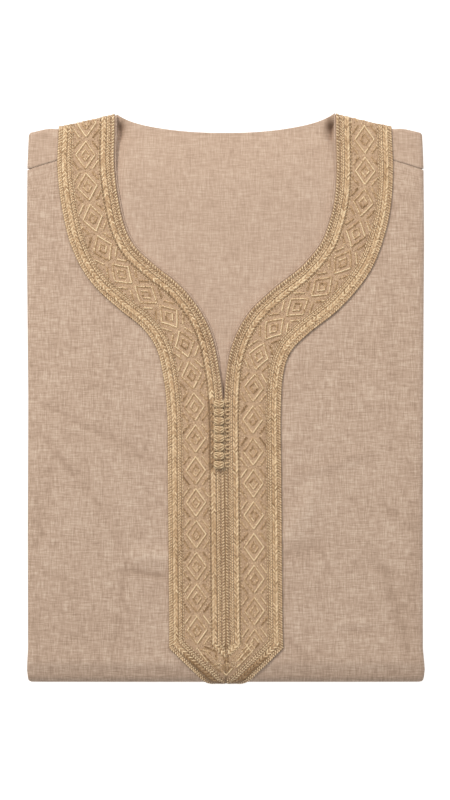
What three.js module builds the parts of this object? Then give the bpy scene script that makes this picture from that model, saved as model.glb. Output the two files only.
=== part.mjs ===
// Folded thobe: a long robe with its sides, sleeves and skirt folded under to a flat packet, front uppermost.
// Millimetres. X to the right, Y toward the shoulders, Z up. The packet lies on z = 0 with its centre over the origin.
// Every piece is first laid out in a plain packet, straight-sided and level, then place() gives it the soft outline.
import * as THREE from "three";

// Packet
const halfWidth = 150;
const stack = 20; // height of the folded stack at the middle, trim not counted
const cloth = 1.3; // thickness of a cloth wall
const gap = 0.3; // air between one piece and the next
const rollOut = 3.2; // how far a side fold bulges past the flat of its panel
const flatEdge = halfWidth - rollOut;
const topRoll = 6.4; // height of the upper layer's side folds
const underRoll = 5; // the same for the layer underneath
const rollLeg = 4; // cloth turned in past each side fold

// Folds across the packet: where each begins, how far it bulges and half its height
const bottomFold = { y: -209.5, out: 6.5, rise: stack / 2 };
const tailFold = { y: 190, out: 5.2, rise: 6.6 };
const shoulderFold = { y: 213.1, slope: 0.226, out: 3.2, rise: topRoll / 2 };

// Neck and seams
const neckHalf = 83.2;
const backNeckDip = 11.2;
const seam = { y: 193.5, slope: 0.31 };
const slitEnd = -58;
const clothPastTrim = 0.9;

// Trim round the neck and down the placket
const trimWidth = 42.6;
const trimBase = 1; // woven ground of the trim
const trimLift = 0.35; // air under the trim
const trimWrap = 5.4; // length carried over the shoulder fold
const tipY = -231.6; // point of the placket, measured along the cloth and so partly round the bottom fold
const cornerY = -188;

// Middle line of each strip of trim, from the shoulder down
const trimGuides = {
  left: [
    [-105.6, 200], [-105.8, 175], [-102.6, 148], [-97, 123.5], [-89.6, 107.2], [-82, 97.2], [-67.2, 83.7],
    [-47.6, 67.6], [-33.4, 46.9], [-26.4, 20.3], [-23.2, -10], [-22.6, -60], [-21.4, -190],
  ],
  right: [
    [104.9, 200], [105.2, 170], [103.4, 147], [98.9, 127.2], [90.6, 106.4], [72.5, 84.2],
    [48.2, 64.6], [33.6, 50], [25.6, 34.6], [21.7, 16], [20.4, -10], [20.8, -60], [21.8, -190],
  ],
};

// Section of the trim: distance from its neck edge, height of the raised braids over the ground
const trimSection = [
  { at: 0, raised: 0.1 },
  { at: 1.4, raised: 0.7 },
  { at: 2.8, raised: 0.2 },
  { at: 8.2, raised: 0.8 },
  { at: 10.8, raised: 0.15 },
  { at: 26.5, raised: 0.2 },
  { at: 29, raised: 0.2 },
  { at: 31.6, raised: 0.15 },
  { at: 34.6, raised: 0.4 },
  { at: 37.8, raised: 0.8 },
  { at: 40, raised: 0.2 },
  { at: 41.3, raised: 0.7 },
  { at: trimWidth, raised: 0.1 },
];

// At the point the trim turns in at 45 degrees and narrows: distance from its outer edge before and after the turn
const trimTurn = [[0, 0], [12.5, 13.6], [32, 24.8], [trimWidth, 32]];

// Knot buttons down the left edge of the slit, each with a loop from the right edge
const knotX = -5.6;
const knotRows = [-4.3, -10.8, -17.3, -23.8, -30.3, -36.9, -43.4, -50.2];
const knot = { x: 4.4, y: 3, z: 2.8 };
const loop = { from: 3.6, bend: 0.9, half: 1.5, radius: 0.6 };

const fabricColour = new THREE.Color("#c3a994");
const trimColour = new THREE.Color("#b99a78");
const knotColour = new THREE.Color("#b29067");

const clamp01 = (t) => Math.min(1, Math.max(0, t));
const mix = (a, b, t) => a + (b - a) * t;
const ease = (t) => clamp01(t) ** 2 * (3 - 2 * clamp01(t));
const steps = (count, value) => Array.from({ length: count + 1 }, (_, i) => value(i / count, i));

/** Value of a table of [at, value] rows, which rise in their first column. */
function lookUp(table, at) {
  const next = table.findIndex((row) => row[0] >= at);
  if (next < 0) return table.at(-1)[1];
  if (next === 0) return table[0][1];
  const [a, b] = [table[next - 1], table[next]];
  return mix(a[1], b[1], (at - a[0]) / (b[0] - a[0]));
}

/** How far each side of the packet stands out from the plain one: [y, left, right]. */
const sideBulge = [
  [-216, 0.2, 0.2], [-206, 0.9, 1.1], [-190, -0.2, -0.6], [-100, 0, -0.7], [0, -0.4, -0.6],
  [120, 0.9, 0.2], [176, 0.4, -0.1], [200, -1.6, -1.6],
];

/** Height of the stack: a slight crown, shoulders that sink, and the soft waves of pressed cloth. */
function heightAt(x, y) {
  const crown = 1.1 * (x / halfWidth) ** 2;
  const sink = 2.8 * ease((y - 150) / 70);
  const waves = 0.3 * Math.sin(x / 29 + y / 85) * Math.cos(y / 44 - 0.6);
  return stack - crown - sink + waves * ease((halfWidth - Math.abs(x)) / 60);
}

/** A point of the plain packet, moved to its place in the soft one. */
function place([x, y, z]) {
  const column = x < 0 ? 1 : 2;
  const bulge = lookUp(sideBulge.map((row) => [row[0], row[column]]), y) * ease((Math.abs(x) - 95) / 50);
  return new THREE.Vector3(x + Math.sign(x) * bulge, y, (z * heightAt(x, y)) / stack);
}

const foldLineY = (x) => shoulderFold.y - shoulderFold.slope * Math.max(0, Math.abs(x) - neckHalf);
const seamLineY = (x) => seam.y - seam.slope * Math.max(0, Math.abs(x) - neckHalf);
const backNeckY = (x) => shoulderFold.y - backNeckDip * (1 - Math.abs(x / neckHalf) ** 3.2);

/** Angle round the upper part of a fold after a given length of cloth. */
function angleAfter(fold, length) {
  let [angle, run] = [0, 0];
  while (run < length && angle < Math.PI) {
    angle += 0.02;
    run += 0.02 * Math.hypot(fold.out * Math.cos(angle), fold.rise * Math.sin(angle));
  }
  return angle;
}

/** The plain packet's outer skin, a height above it: y is measured along the cloth, so it runs on round the folds. */
function skin(x, y, lift) {
  const shoulderY = foldLineY(x);
  if (y > shoulderY) {
    const angle = angleAfter(shoulderFold, y - shoulderY);
    const z = stack - shoulderFold.rise + (shoulderFold.rise + lift) * Math.cos(angle);
    return [x, shoulderY + (shoulderFold.out + lift) * Math.sin(angle), z];
  }
  if (y < bottomFold.y) {
    const angle = angleAfter(bottomFold, bottomFold.y - y);
    const z = bottomFold.rise + (bottomFold.rise + lift) * Math.cos(angle);
    return [x, bottomFold.y - (bottomFold.out + lift) * Math.sin(angle), z];
  }
  return [x, y, stack + lift];
}

// Sheets: points with a number each, and the triangles between them

class Sheet {
  points = [];
  triangles = [];

  add(point) {
    return this.points.push(place(point)) - 1;
  }

  /** Fills the rows of a grid of point numbers; turned sheets face the other way. */
  fill(rows, turned = false) {
    for (let r = 1; r < rows.length; r++) {
      for (let c = 1; c < rows[r].length; c++) {
        const [a, b, d, e] = [rows[r - 1][c - 1], rows[r - 1][c], rows[r][c - 1], rows[r][c]];
        for (const corners of [[a, d, b], [b, d, e]]) {
          if (new Set(corners).size === 3) this.triangles.push(turned ? corners.reverse() : corners);
        }
      }
    }
  }

  normals() {
    const sums = this.points.map(() => new THREE.Vector3());
    for (const corners of this.triangles) {
      const [a, b, c] = corners.map((i) => this.points[i]);
      const face = new THREE.Vector3().crossVectors(b.clone().sub(a), c.clone().sub(a));
      for (const i of corners) sums[i].add(face);
    }
    return sums.map((sum) => sum.normalize());
  }
}

/** A closed wall between an outer sheet and the matching inner points. */
function wall(sheet, inner) {
  const count = sheet.points.length;
  const triangles = [...sheet.triangles, ...sheet.triangles.map(([a, b, c]) => [a + count, c + count, b + count])];
  const edges = new Set(sheet.triangles.flatMap(([a, b, c]) => [`${a},${b}`, `${b},${c}`, `${c},${a}`]));
  for (const edge of edges) {
    const [a, b] = edge.split(",").map(Number);
    if (!edges.has(`${b},${a}`)) triangles.push([b, a, a + count], [b, a + count, b + count]);
  }
  return solid([...sheet.points, ...inner], triangles);
}

/** A cloth wall: the sheet is its outer face and the inner face lies one thickness in. */
function clothWall(sheet) {
  const normals = sheet.normals();
  return wall(sheet, sheet.points.map((point, i) => point.clone().addScaledVector(normals[i], -cloth)));
}

function solid(points, triangles) {
  const geometry = new THREE.BufferGeometry();
  geometry.setAttribute("position", new THREE.Float32BufferAttribute(points.flatMap((p) => p.toArray()), 3));
  geometry.setIndex(triangles.flat());
  geometry.computeVertexNormals();
  return geometry;
}

// Trim lines in plan

/** Points of a guide at an even spacing, each with its direction. */
function walk(guide, spacing) {
  const curve = new THREE.CatmullRomCurve3(guide.map(([x, y]) => new THREE.Vector3(x, y, 0)), false, "centripetal");
  curve.arcLengthDivisions = 800;
  const count = Math.round(curve.getLength() / spacing);
  return steps(count, (t) => ({ at: curve.getPointAt(t), along: curve.getTangentAt(t) }));
}

/** A point beside a guide; positive distances lead toward the neck. */
function beside({ at, along }, side, distance) {
  return [at.x + side * distance * along.y, at.y - side * distance * along.x];
}

const sides = { left: -1, right: 1 };
const centreX = (y) => mix(-1.3, 0.3, clamp01(-y / 190));

/** The front's cut edge, neckline and slit, as a table of [y, x] that rises in y. */
function neckline(name) {
  const side = sides[name];
  const rows = walk(trimGuides[name], 4).map((station) => {
    const [x, y] = beside(station, side, trimWidth / 2 + clothPastTrim);
    return [y, side * Math.max(side * x, side * centreX(y) + gap / 2)];
  });
  return rows.reverse();
}

// The front: from the shoulder seams down the top, round the bottom fold, along the underside and up into the tail fold

/** Places along the front in order, each a function of (x, depth below the outer skin). */
function frontStations() {
  const upper = [1, 0.75, 0.5, 0.25].map((t) => (x, depth) => [x, mix(150, seamLineY(x), t), stack - depth]);
  const lowerYs = [150, 138, 127, 117, 108, 100, 92, 84, 76, 68, 60, 50, 38, 24, 8, -12, -35, slitEnd, -85, -112, -140,
    -166, -190, bottomFold.y];
  const lower = lowerYs.map((y) => (x, depth) => [x, y, stack - depth]);
  const bottom = steps(9, (t) => round(bottomFold, -1, t * Math.PI)).slice(1);
  const under = [-150, -75, 0, 75, 150, tailFold.y].map((y) => (x, depth) => [x, y, depth]);
  const tail = steps(7, (t) => round(tailFold, 1, Math.PI * (1 - t))).slice(1);
  return { all: [...upper, ...lower, ...bottom, ...under, ...tail], split: upper.length + lowerYs.indexOf(slitEnd) };
}

/** A station on a fold across the packet: deeper cloth turns on a smaller radius. */
function round(fold, direction, angle) {
  return (x, depth) => {
    const share = 1 - depth / fold.rise;
    const y = fold.y + direction * fold.out * share * Math.sin(angle);
    return [x, y, fold.rise * (1 + share * Math.cos(angle))];
  };
}

function frontPanel() {
  const sheet = new Sheet();
  const { all, split } = frontStations();
  const necklines = { left: neckline("left"), right: neckline("right") };
  const firstUnder = all.length - 7 - 6 - 9;
  const depthAt = (i) => mix(topRoll, underRoll, clamp01((i - firstUnder) / 9));
  const middle = all.map((station, i) => (i < split ? null : sheet.add(station(centreX(station(0, 0)[1]), 0))));
  for (const [name, side] of Object.entries(sides)) {
    const rows = all.map((station, i) => {
      const roll = rollSection(depthAt(i));
      const startX = middle[i] === null ? lookUp(necklines[name], station(side * neckHalf, 0)[1]) : 0;
      const across = steps(6, (t) => mix(startX, side * flatEdge, t ** 0.9));
      const flat = across.map((x) => sheet.points.length && station(x, 0));
      const first = middle[i] ?? sheet.add(flat[0]);
      const rest = flat.slice(1).map((point) => sheet.add(point));
      const rolled = roll.slice(1).map(([out, depth]) => sheet.add(station(side * (flatEdge + out), depth)));
      return [first, ...rest, ...rolled];
    });
    sheet.fill(rows, side < 0);
  }
  return clothWall(sheet);
}

/** A side fold in section: how far out from the flat edge and how deep, from the top round to the leg turned in. */
function rollSection(height) {
  const turn = steps(7, (t) => [rollOut * Math.sin(Math.PI * t), (height / 2) * (1 - Math.cos(Math.PI * t))]);
  return [...turn, [-rollLeg / 2, height], [-rollLeg, height]];
}

// The back: lies inside the packet, comes over each shoulder fold and ends at the shoulder seams

function backPanel() {
  const sheet = new Sheet();
  const level = stack - 2 * cloth - gap - 0.2; // its outside faces down
  const pocket = stack - topRoll;
  const layerZ = (y) => mix(level, pocket, ease((y - 152) / 24));
  const outerXs = steps(5, (t) => mix(neckHalf, flatEdge, t));
  const innerXs = steps(10, (t) => mix(-neckHalf, neckHalf, t)).slice(1, -1);
  const xs = [...outerXs.map((x) => -x).reverse(), ...innerXs, ...outerXs];
  const tucked = (x) => Math.sign(x) * Math.min(Math.abs(x), flatEdge - rollLeg - 1.3);
  const topEdge = (x) => (Math.abs(x) < neckHalf ? backNeckY(x) : foldLineY(x));
  const rises = [0, 0.25, 0.5, 0.75, 1];
  const plainYs = [-206, -165, -120, -75, -30, 15, 50, 80, 105, 125, 140, 152, 160, 167];
  const joined = 2; // from this rise on, the layer runs into the side folds
  const under = [
    ...plainYs.map((y) => xs.map((x) => sheet.add([tucked(x), y, layerZ(y)]))),
    ...rises.map((t, i) => xs.map((x) => {
      const y = mix(seamLineY(x) + gap, topEdge(x), t);
      return sheet.add([i < joined ? tucked(x) : x, y, layerZ(y)]);
    })),
  ];
  sheet.fill(under);
  for (const side of [-1, 1]) {
    const columns = outerXs.map((x) => xs.indexOf(side * x));
    const top = rises.map((t) => outerXs.map((x) => {
      return sheet.add([side * x, mix(seamLineY(x) + gap, foldLineY(x), t), stack]);
    }));
    sheet.fill(top, side > 0);
    const bottom = rises.map((_, i) => {
      const row = under[plainYs.length + i];
      return columns.map((c) => row[c]);
    });
    const edge = shoulderEdge(sheet, side, outerXs, rises, top, bottom, joined);
    sheet.fill(edge, side > 0);
  }
  return clothWall(sheet);
}

/** The fold that joins the two layers of a shoulder: up the side, round the corner and along to the neck. */
function shoulderEdge(sheet, side, xs, rises, top, bottom, joined) {
  const last = xs.length - 1;
  const edge = [];
  const turn = (r, c, angle) => {
    const x = side * xs[c];
    const y = mix(seamLineY(x) + gap, foldLineY(x), rises[r]);
    const section = steps(7, (t) => {
      const out = shoulderFold.out * Math.sin(Math.PI * t);
      return [x + side * out * Math.cos(angle), y + out * Math.sin(angle), stack - (topRoll / 2) * (1 - Math.cos(Math.PI * t))];
    });
    const free = angle === 0 && r < joined;
    const lowest = free ? sheet.add(section.at(-1)) : bottom[r][c];
    edge.push([top[r][c], ...section.slice(1, -1).map((p) => sheet.add(p)), lowest]);
  };
  rises.forEach((_, r) => turn(r, last, 0));
  [30, 60].forEach((degrees) => turn(rises.length - 1, last, (degrees * Math.PI) / 180));
  for (let c = last; c >= 0; c--) turn(rises.length - 1, c, Math.PI / 2);
  return edge;
}

// The layers hidden in the packet: sleeves, sides and skirt as one rounded solid that shows as stacked folds

/** Levels from the top down: height, inset from the plain sides, and both ends. */
const hiddenLevels = [
  { z: 16.4, inset: 9, from: -208, to: 143 },
  { z: 16.3, inset: 3.6, from: -211, to: 147 },
  { z: 15.9, inset: 2.6, from: -211.8, to: 151 },
  { z: 15.4, inset: 3.6, from: -212.4, to: 155 },
  { z: 15.2, inset: 8.8, from: -212.8, to: 157 },
  { z: 13.5, inset: 8.8, from: -213.2, to: 170 },
  { z: 13.3, inset: 4.4, from: -208.6, to: 181 },
  { z: 12.6, inset: 2.3, from: -210, to: 186 },
  { z: 11.3, inset: 1.6, from: -210.8, to: 189 },
  { z: 10, inset: 2.3, from: -211, to: 189.2 },
  { z: 9.3, inset: 6.4, from: -211, to: 189.2 },
  { z: 8.6, inset: 2.3, from: -211, to: 189.2 },
  { z: 7.2, inset: 1.6, from: -211, to: 189.2 },
  { z: 6, inset: 2.3, from: -210.6, to: 189.2 },
  { z: 5.4, inset: 4.4, from: -209.8, to: 189.2 },
  { z: 5.2, inset: 8.8, from: -212.6, to: 189.2 },
  { z: 3.3, inset: 8.8, from: -212.2, to: 189.2 },
  { z: 3.1, inset: 4.4, from: -211, to: 189 },
  { z: 2.5, inset: 3, from: -210.2, to: 188.6 },
  { z: 1.85, inset: 4.4, from: -208.6, to: 188 },
];

/** A rectangle with round corners, as points in order; share below 1 draws it in toward its middle. */
function roundedLoop({ inset, from, to }, share) {
  const half = halfWidth - inset;
  const corners = [[1, from, -90], [1, to, 0], [-1, to, 90], [-1, from, 180]];
  const radius = 13;
  const outline = corners.flatMap(([side, y, start]) => steps(4, (t) => {
    const angle = ((start + 90 * t) * Math.PI) / 180;
    const middleY = y === from ? from + radius : to - radius;
    return [side * (half - radius) + radius * Math.cos(angle), middleY + radius * Math.sin(angle)];
  }));
  const split = outline.flatMap((point, i) => {
    const next = outline[(i + 1) % outline.length];
    const side = Math.floor(i / 5);
    const cuts = i % 5 < 4 ? 1 : [7, 5][side % 2];
    return steps(cuts, (t) => [mix(point[0], next[0], t), mix(point[1], next[1], t)]).slice(0, -1);
  });
  const centre = (from + to) / 2;
  return split.map(([x, y]) => [x * share, centre + (y - centre) * share]);
}

function foldedLayers() {
  const sheet = new Sheet();
  const ring = (level, share) => {
    const numbers = roundedLoop(level, share).map(([x, y]) => sheet.add([x, y, level.z]));
    return [...numbers, numbers[0]];
  };
  const [first, last] = [hiddenLevels[0], hiddenLevels.at(-1)];
  const shares = [0.3, 0.55, 0.8];
  const rings = [
    ...shares.map((share) => ring(first, share)),
    ...hiddenLevels.map((level) => ring(level, 1)),
    ...shares.toReversed().map((share) => ring(last, share)),
  ];
  const caps = [first, last].map((level) => sheet.add([0, (level.from + level.to) / 2, level.z]));
  sheet.fill([rings[0].map(() => caps[0]), ...rings, rings[0].map(() => caps[1])]);
  return solid(sheet.points, sheet.triangles);
}

// The trim: a strip on each side that follows the neckline, meets its twin below the slit and turns in to a point

/** Plan places of one strip, row by row from behind the shoulder to the centre line, with y along the cloth. */
function trimRows(name) {
  const side = sides[name];
  const stations = walk(trimGuides[name], 9.5);
  const toNeck = ({ at }) => trimWidth / 2 - at;
  const kept = stations.filter(({ at }, i) => at.y > cornerY + 14 && (at.y > 0 || i % 3 === 0));
  const rows = kept.map((station) => trimSection.map((column) => beside(station, side, toNeck(column))));
  const overFold = [1, 0.66, 0.33, 0].map((t) => rows[0].map(([x]) => [x, foldLineY(x) + t * trimWrap]));
  const point = steps(9, (t) => trimSection.map(({ at }) => {
    const fromOuter = trimWidth - at;
    const across = trimWidth + gap / 2 - fromOuter;
    const turnY = tipY + lookUp(trimTurn, fromOuter) * Math.SQRT2 + across;
    const reach = t * Math.max(across - gap / 2, 0.5);
    return [centreX(turnY) + side * (across + 0.5 - reach), turnY - reach];
  }));
  return [...overFold, ...rows, ...point];
}

function trimStrip(name) {
  const sheet = new Sheet();
  const rows = trimRows(name);
  const liftAt = (y) => trimLift + 0.45 * ease((bottomFold.y + 4 - y) / 8); // stands off a little on the bottom fold
  const numbers = rows.map((row) => row.map(([x, y], c) => {
    return sheet.add(skin(x, y, liftAt(y) + trimBase + trimSection[c].raised));
  }));
  sheet.fill(numbers, name === "left");
  const inner = rows.flatMap((row) => row.map(([x, y]) => place(skin(x, y, liftAt(y)))));
  return wall(sheet, inner);
}

// Buttons and loops

const trimTop = stack + trimLift + trimBase + 0.8;

/** A woven ball knot, wider than high. */
function knotButton(y) {
  const sheet = new Sheet();
  const z = trimTop + gap + knot.z;
  const around = 12;
  const ends = [-1, 1].map((end) => sheet.add([knotX + end * knot.x, y, z]));
  const rings = [1, 2, 3, 4, 5].map((i) => {
    const along = -Math.cos((Math.PI * i) / 6);
    const size = Math.sin((Math.PI * i) / 6);
    const ring = steps(around - 1, (_, j) => {
      const angle = (2 * Math.PI * j) / around;
      return sheet.add([knotX + knot.x * along, y + knot.y * size * Math.cos(angle), z + knot.z * size * Math.sin(angle)]);
    });
    return [...ring, ring[0]];
  });
  sheet.fill([rings[0].map(() => ends[0]), ...rings, rings[0].map(() => ends[1])], true);
  return solid(sheet.points, sheet.triangles);
}

/** A cord loop: out from the right strip, round under the edge of its knot and back. */
function cordLoop(y) {
  const sheet = new Sheet();
  const z = trimTop + gap + loop.radius;
  const bend = steps(6, (t) => Math.PI / 2 + Math.PI * t);
  const path = [
    { at: [loop.from, y + loop.half], angle: Math.PI / 2 },
    ...bend.map((angle) => ({ at: [loop.bend + loop.half * Math.cos(angle), y + loop.half * Math.sin(angle)], angle })),
    { at: [loop.from, y - loop.half], angle: (3 * Math.PI) / 2 },
  ];
  const around = 7;
  const rings = path.map(({ at, angle }) => {
    const ring = steps(around - 1, (_, j) => {
      const turn = (2 * Math.PI * j) / around;
      const out = loop.radius * Math.cos(turn);
      return sheet.add([at[0] + out * Math.cos(angle), at[1] + out * Math.sin(angle), z + loop.radius * Math.sin(turn)]);
    });
    return [...ring, ring[0]];
  });
  const ends = [path[0], path.at(-1)].map(({ at }) => sheet.add([at[0], at[1], z]));
  sheet.fill([rings[0].map(() => ends[0]), ...rings, rings[0].map(() => ends[1])]);
  return solid(sheet.points, sheet.triangles);
}

// The part

const group = new THREE.Group();
group.name = "folded_thobe";

function addPiece(name, geometry, color, roughness) {
  const piece = new THREE.Mesh(geometry, new THREE.MeshStandardMaterial({ color, roughness }));
  piece.name = name;
  group.add(piece);
}

addPiece("front_panel", frontPanel(), fabricColour, 0.9);
addPiece("back_panel", backPanel(), fabricColour, 0.9);
addPiece("folded_layers", foldedLayers(), fabricColour, 0.9);
addPiece("band_left", trimStrip("left"), trimColour, 0.7);
addPiece("band_right", trimStrip("right"), trimColour, 0.7);
knotRows.forEach((y, i) => {
  addPiece(`knot_button_${i + 1}`, knotButton(y), knotColour, 0.7);
  addPiece(`button_loop_${i + 1}`, cordLoop(y), knotColour, 0.7);
});

export default group;
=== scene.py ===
# Folded thobe: linen-look cloth, braided trim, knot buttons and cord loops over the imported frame.
# Sizes are in millimetres until a piece becomes a mesh.
# The packet lies on the floor with its front up.
import math

import bpy
import numpy as np
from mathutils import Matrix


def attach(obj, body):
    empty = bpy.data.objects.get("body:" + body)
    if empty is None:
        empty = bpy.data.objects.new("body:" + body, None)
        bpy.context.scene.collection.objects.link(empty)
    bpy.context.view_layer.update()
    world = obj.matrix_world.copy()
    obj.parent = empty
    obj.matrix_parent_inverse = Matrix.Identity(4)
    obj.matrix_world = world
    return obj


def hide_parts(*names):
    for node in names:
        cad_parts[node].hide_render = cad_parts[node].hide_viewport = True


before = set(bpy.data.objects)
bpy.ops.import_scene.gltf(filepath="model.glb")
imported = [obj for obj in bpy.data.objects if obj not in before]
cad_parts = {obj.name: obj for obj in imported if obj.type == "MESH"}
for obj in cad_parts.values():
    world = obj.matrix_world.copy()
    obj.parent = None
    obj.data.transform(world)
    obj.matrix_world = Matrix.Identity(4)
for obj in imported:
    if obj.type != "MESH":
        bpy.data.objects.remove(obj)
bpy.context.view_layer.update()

bpy.ops.object.select_all(action="DESELECT")
random = np.random.default_rng(41)

# camera and light come first

studio = {
    "camera": (-0.0006, -0.0014, 1.616),  # straight above the packet
    "lens": 95,
    # a soft box overhead that falls off toward the horizon
    "sky": {"strength": 0.82, "stops": [(0.15, "#484746"), (0.85, "#fcfbf9")]},
    "key": {"place": (-0.85, 1.1, 1.6), "size": 0.5, "watts": 23, "colour": "#fffaf2"},
    "top": {"place": (0.25, 0.95, 0.85), "size": 0.5, "watts": 3.0, "colour": "#fffaf4"},
    "floor": {"size": 4.0, "below": 0.4, "colour": "#b9b8b6", "glow": 0.8},
}


def linear(hexColour):
    # sRGB hex to the linear values that sockets take
    parts = [int(hexColour[i:i + 2], 16) / 255 for i in (1, 3, 5)]
    return [p / 12.92 if p <= 0.04045 else ((p + 0.055) / 1.055) ** 2.4 for p in parts]


def addNode(tree, kind, settings=None, links=None):
    # one node with its settings, and a value or another node's socket for each input
    made = tree.nodes.new(kind)
    for name, value in (settings or {}).items():
        if name == "stops":  # places on a colour ramp, each with its colour
            points = made.color_ramp.elements
            while len(points) < len(value):
                points.new(0.5)
            for point, (at, colour) in zip(points, value):
                point.position = at
                point.color = (*linear(colour), 1)
        else:
            setattr(made, name, value)
    for name, value in (links or {}).items():
        if isinstance(value, bpy.types.NodeSocket):
            tree.links.new(value, made.inputs[name])
        else:
            made.inputs[name].default_value = value
    return made


def buildStudio():
    bpy.ops.object.camera_add(location=studio["camera"], rotation=(0, 0, 0))
    camera = bpy.context.object
    camera.name = "camera"
    camera.data.lens = studio["lens"]
    camera.data.clip_start = 0.1
    bpy.context.scene.camera = camera

    for name in ("key", "top"):
        facts = studio[name]
        bpy.ops.object.light_add(type="AREA", location=facts["place"])
        light = bpy.context.object
        light.name = name + "Light"
        light.data.size = facts["size"]
        light.data.energy = facts["watts"]
        light.data.color = linear(facts["colour"])
        light.rotation_euler = (-light.location).to_track_quat("-Z", "Y").to_euler()

    world = bpy.data.worlds.new("studio")
    bpy.context.scene.world = world
    world.use_nodes = True
    tree = world.node_tree
    where = addNode(tree, "ShaderNodeTexCoord")
    parts = addNode(tree, "ShaderNodeSeparateXYZ", None, {"Vector": where.outputs["Generated"]})
    shades = addNode(tree, "ShaderNodeValToRGB", {"stops": studio["sky"]["stops"]},
                     {"Fac": parts.outputs["Z"]})
    background = tree.nodes["Background"]
    tree.links.new(shades.outputs["Color"], background.inputs["Color"])
    background.inputs["Strength"].default_value = studio["sky"]["strength"]
    bpy.context.scene.view_settings.view_transform = "Standard"

    facts = studio["floor"]
    bpy.ops.mesh.primitive_plane_add(size=facts["size"], location=(0, 0, -facts["below"] / 1000))
    floor = bpy.context.object
    floor.name = "floor"
    # opal acrylic sheet lit from below: even and white, almost without shadow
    sheet = bpy.data.materials.new("lit_white_acrylic")
    sheet.use_nodes = True
    shader = sheet.node_tree.nodes["Principled BSDF"]
    for name, value in (("Base Color", (*linear(facts["colour"]), 1)), ("Roughness", 1),
                        ("Specular IOR Level", 0), ("Emission Color", (1, 1, 1, 1)),
                        ("Emission Strength", facts["glow"])):
        shader.inputs[name].default_value = value
    floor.data.materials.append(sheet)
    print("studio: camera, two lights, floor")


buildStudio()

# the packet's form: a plain packet of folded cloth, to which place() gives the soft outline

packet = {
    "halfWidth": 150,
    "stack": 20,  # height of the folded stack at the middle
    # the top falls toward the sides, the shoulders and the bottom fold, with low waves
    "top": {
        "crown": 1.1,
        "shoulders": {"deep": 2.8, "from": 150, "over": 70},
        "bottom": {"deep": 3.6, "from": -198, "over": 15},
        "edge": {"deep": 1.0, "from": 137, "over": 13},
        "waves": {"high": 0.3, "x": 29, "y": (85, 44), "fadeOver": 60},
    },
    "cloth": 0.95,  # thickness of the cloth shells
    "gap": 0.3,
    "rollOut": 3.2,  # how far a side fold bulges
    "topRoll": 6.4,
    "underRoll": 5,
    "rollLeg": 4,
    "bottomFold": {"y": -209.5, "out": 6.5, "rise": 10},
    "tailFold": {"y": 190, "out": 5.2, "rise": 6.6},
    "shoulderFold": {"y": 213.1, "slope": 0.226, "out": 3.2, "rise": 3.2},
    # it is pressed back under the thickness of the trim, between these places out from the neck
    "pressed": {"deep": 2.3, "from": -5, "over": 7, "to": 52.8, "fade": 10},
    "neckHalf": 83.2,
    "backNeck": {"y": 201.2, "rise": 11, "riseRight": 0.9, "corner": 3.8},
    "seam": {"y": 193.5, "slope": 0.31},
    "slitEnd": -58,
    # how far each side stands out from the plain packet; it grows from the middle outward
    "bulgeFrom": 95,
    "bulgeOver": 50,
    "bulgeY": [-216, -206, -190, -100, 0, 120, 176, 200],
    "bulgeLeft": [0.2, 0.9, 0, 0.2, -0.2, 0.9, 0.5, -0.4],
    "bulgeRight": [0.2, 1.1, -0.5, -0.6, -0.4, 0.4, 0, -0.8],
}
stack = packet["stack"]
flatEdge = packet["halfWidth"] - packet["rollOut"]
sides = {"left": -1, "right": 1}


def ease(t):
    t = np.clip(t, 0, 1)
    return t * t * (3 - 2 * t)


def mix(a, b, t):
    return a + (b - a) * t


def heightAt(x, y):
    # height of the packet's top
    top = packet["top"]
    shoulders, bottom, edge = top["shoulders"], top["bottom"], top["edge"]
    crown = top["crown"] * (x / packet["halfWidth"]) ** 2
    sink = shoulders["deep"] * ease((y - shoulders["from"]) / shoulders["over"])
    sink = sink + bottom["deep"] * ease((bottom["from"] - y) / bottom["over"])
    sink = sink + edge["deep"] * np.clip((np.abs(x) - edge["from"]) / edge["over"], 0, 1) ** 2
    facts = top["waves"]
    slow, quick = facts["y"]
    waves = facts["high"] * np.sin(x / facts["x"] + y / slow) * np.cos(y / quick - 0.6)
    fade = ease((packet["halfWidth"] - np.abs(x)) / facts["fadeOver"])
    return stack - crown - sink + waves * fade


def place(points):
    # from the plain packet to its soft outline
    x, y, z = np.moveaxis(np.asarray(points, float), -1, 0)
    left = np.interp(y, packet["bulgeY"], packet["bulgeLeft"])
    right = np.interp(y, packet["bulgeY"], packet["bulgeRight"])
    share = ease((np.abs(x) - packet["bulgeFrom"]) / packet["bulgeOver"])
    bulge = np.where(x < 0, left, right) * share
    return np.stack([x + np.sign(x) * bulge, y, z * heightAt(x, y) / stack], -1)


def foldLineY(x):
    # where the shoulder fold begins
    fold, facts = packet["shoulderFold"], packet["pressed"]
    out = np.abs(x) - packet["neckHalf"]
    pressed = facts["deep"] * ease((out - facts["from"]) / facts["over"])
    pressed = pressed * ease((facts["to"] - out) / facts["fade"])
    return fold["y"] - fold["slope"] * np.maximum(0, out) - pressed


def seamLineY(x):
    seam = packet["seam"]
    return seam["y"] - seam["slope"] * np.maximum(0, np.abs(x) - packet["neckHalf"])


def backNeckY(x):
    t, facts = np.abs(x / packet["neckHalf"]), packet["backNeck"]
    rise = facts["rise"] + facts["riseRight"] * (x > 0)
    return facts["y"] + rise * t ** 2.2 + facts["corner"] * t ** 10


def angleAfter(fold, length):
    # angle round the upper part of a fold after a length of cloth
    step = 0.02
    angles = np.arange(0, math.pi, step)
    steps = step * np.hypot(fold["out"] * np.cos(angles[1:]), fold["rise"] * np.sin(angles[1:]))
    return np.interp(length, np.concatenate([[0], np.cumsum(steps)]), angles)


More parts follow.
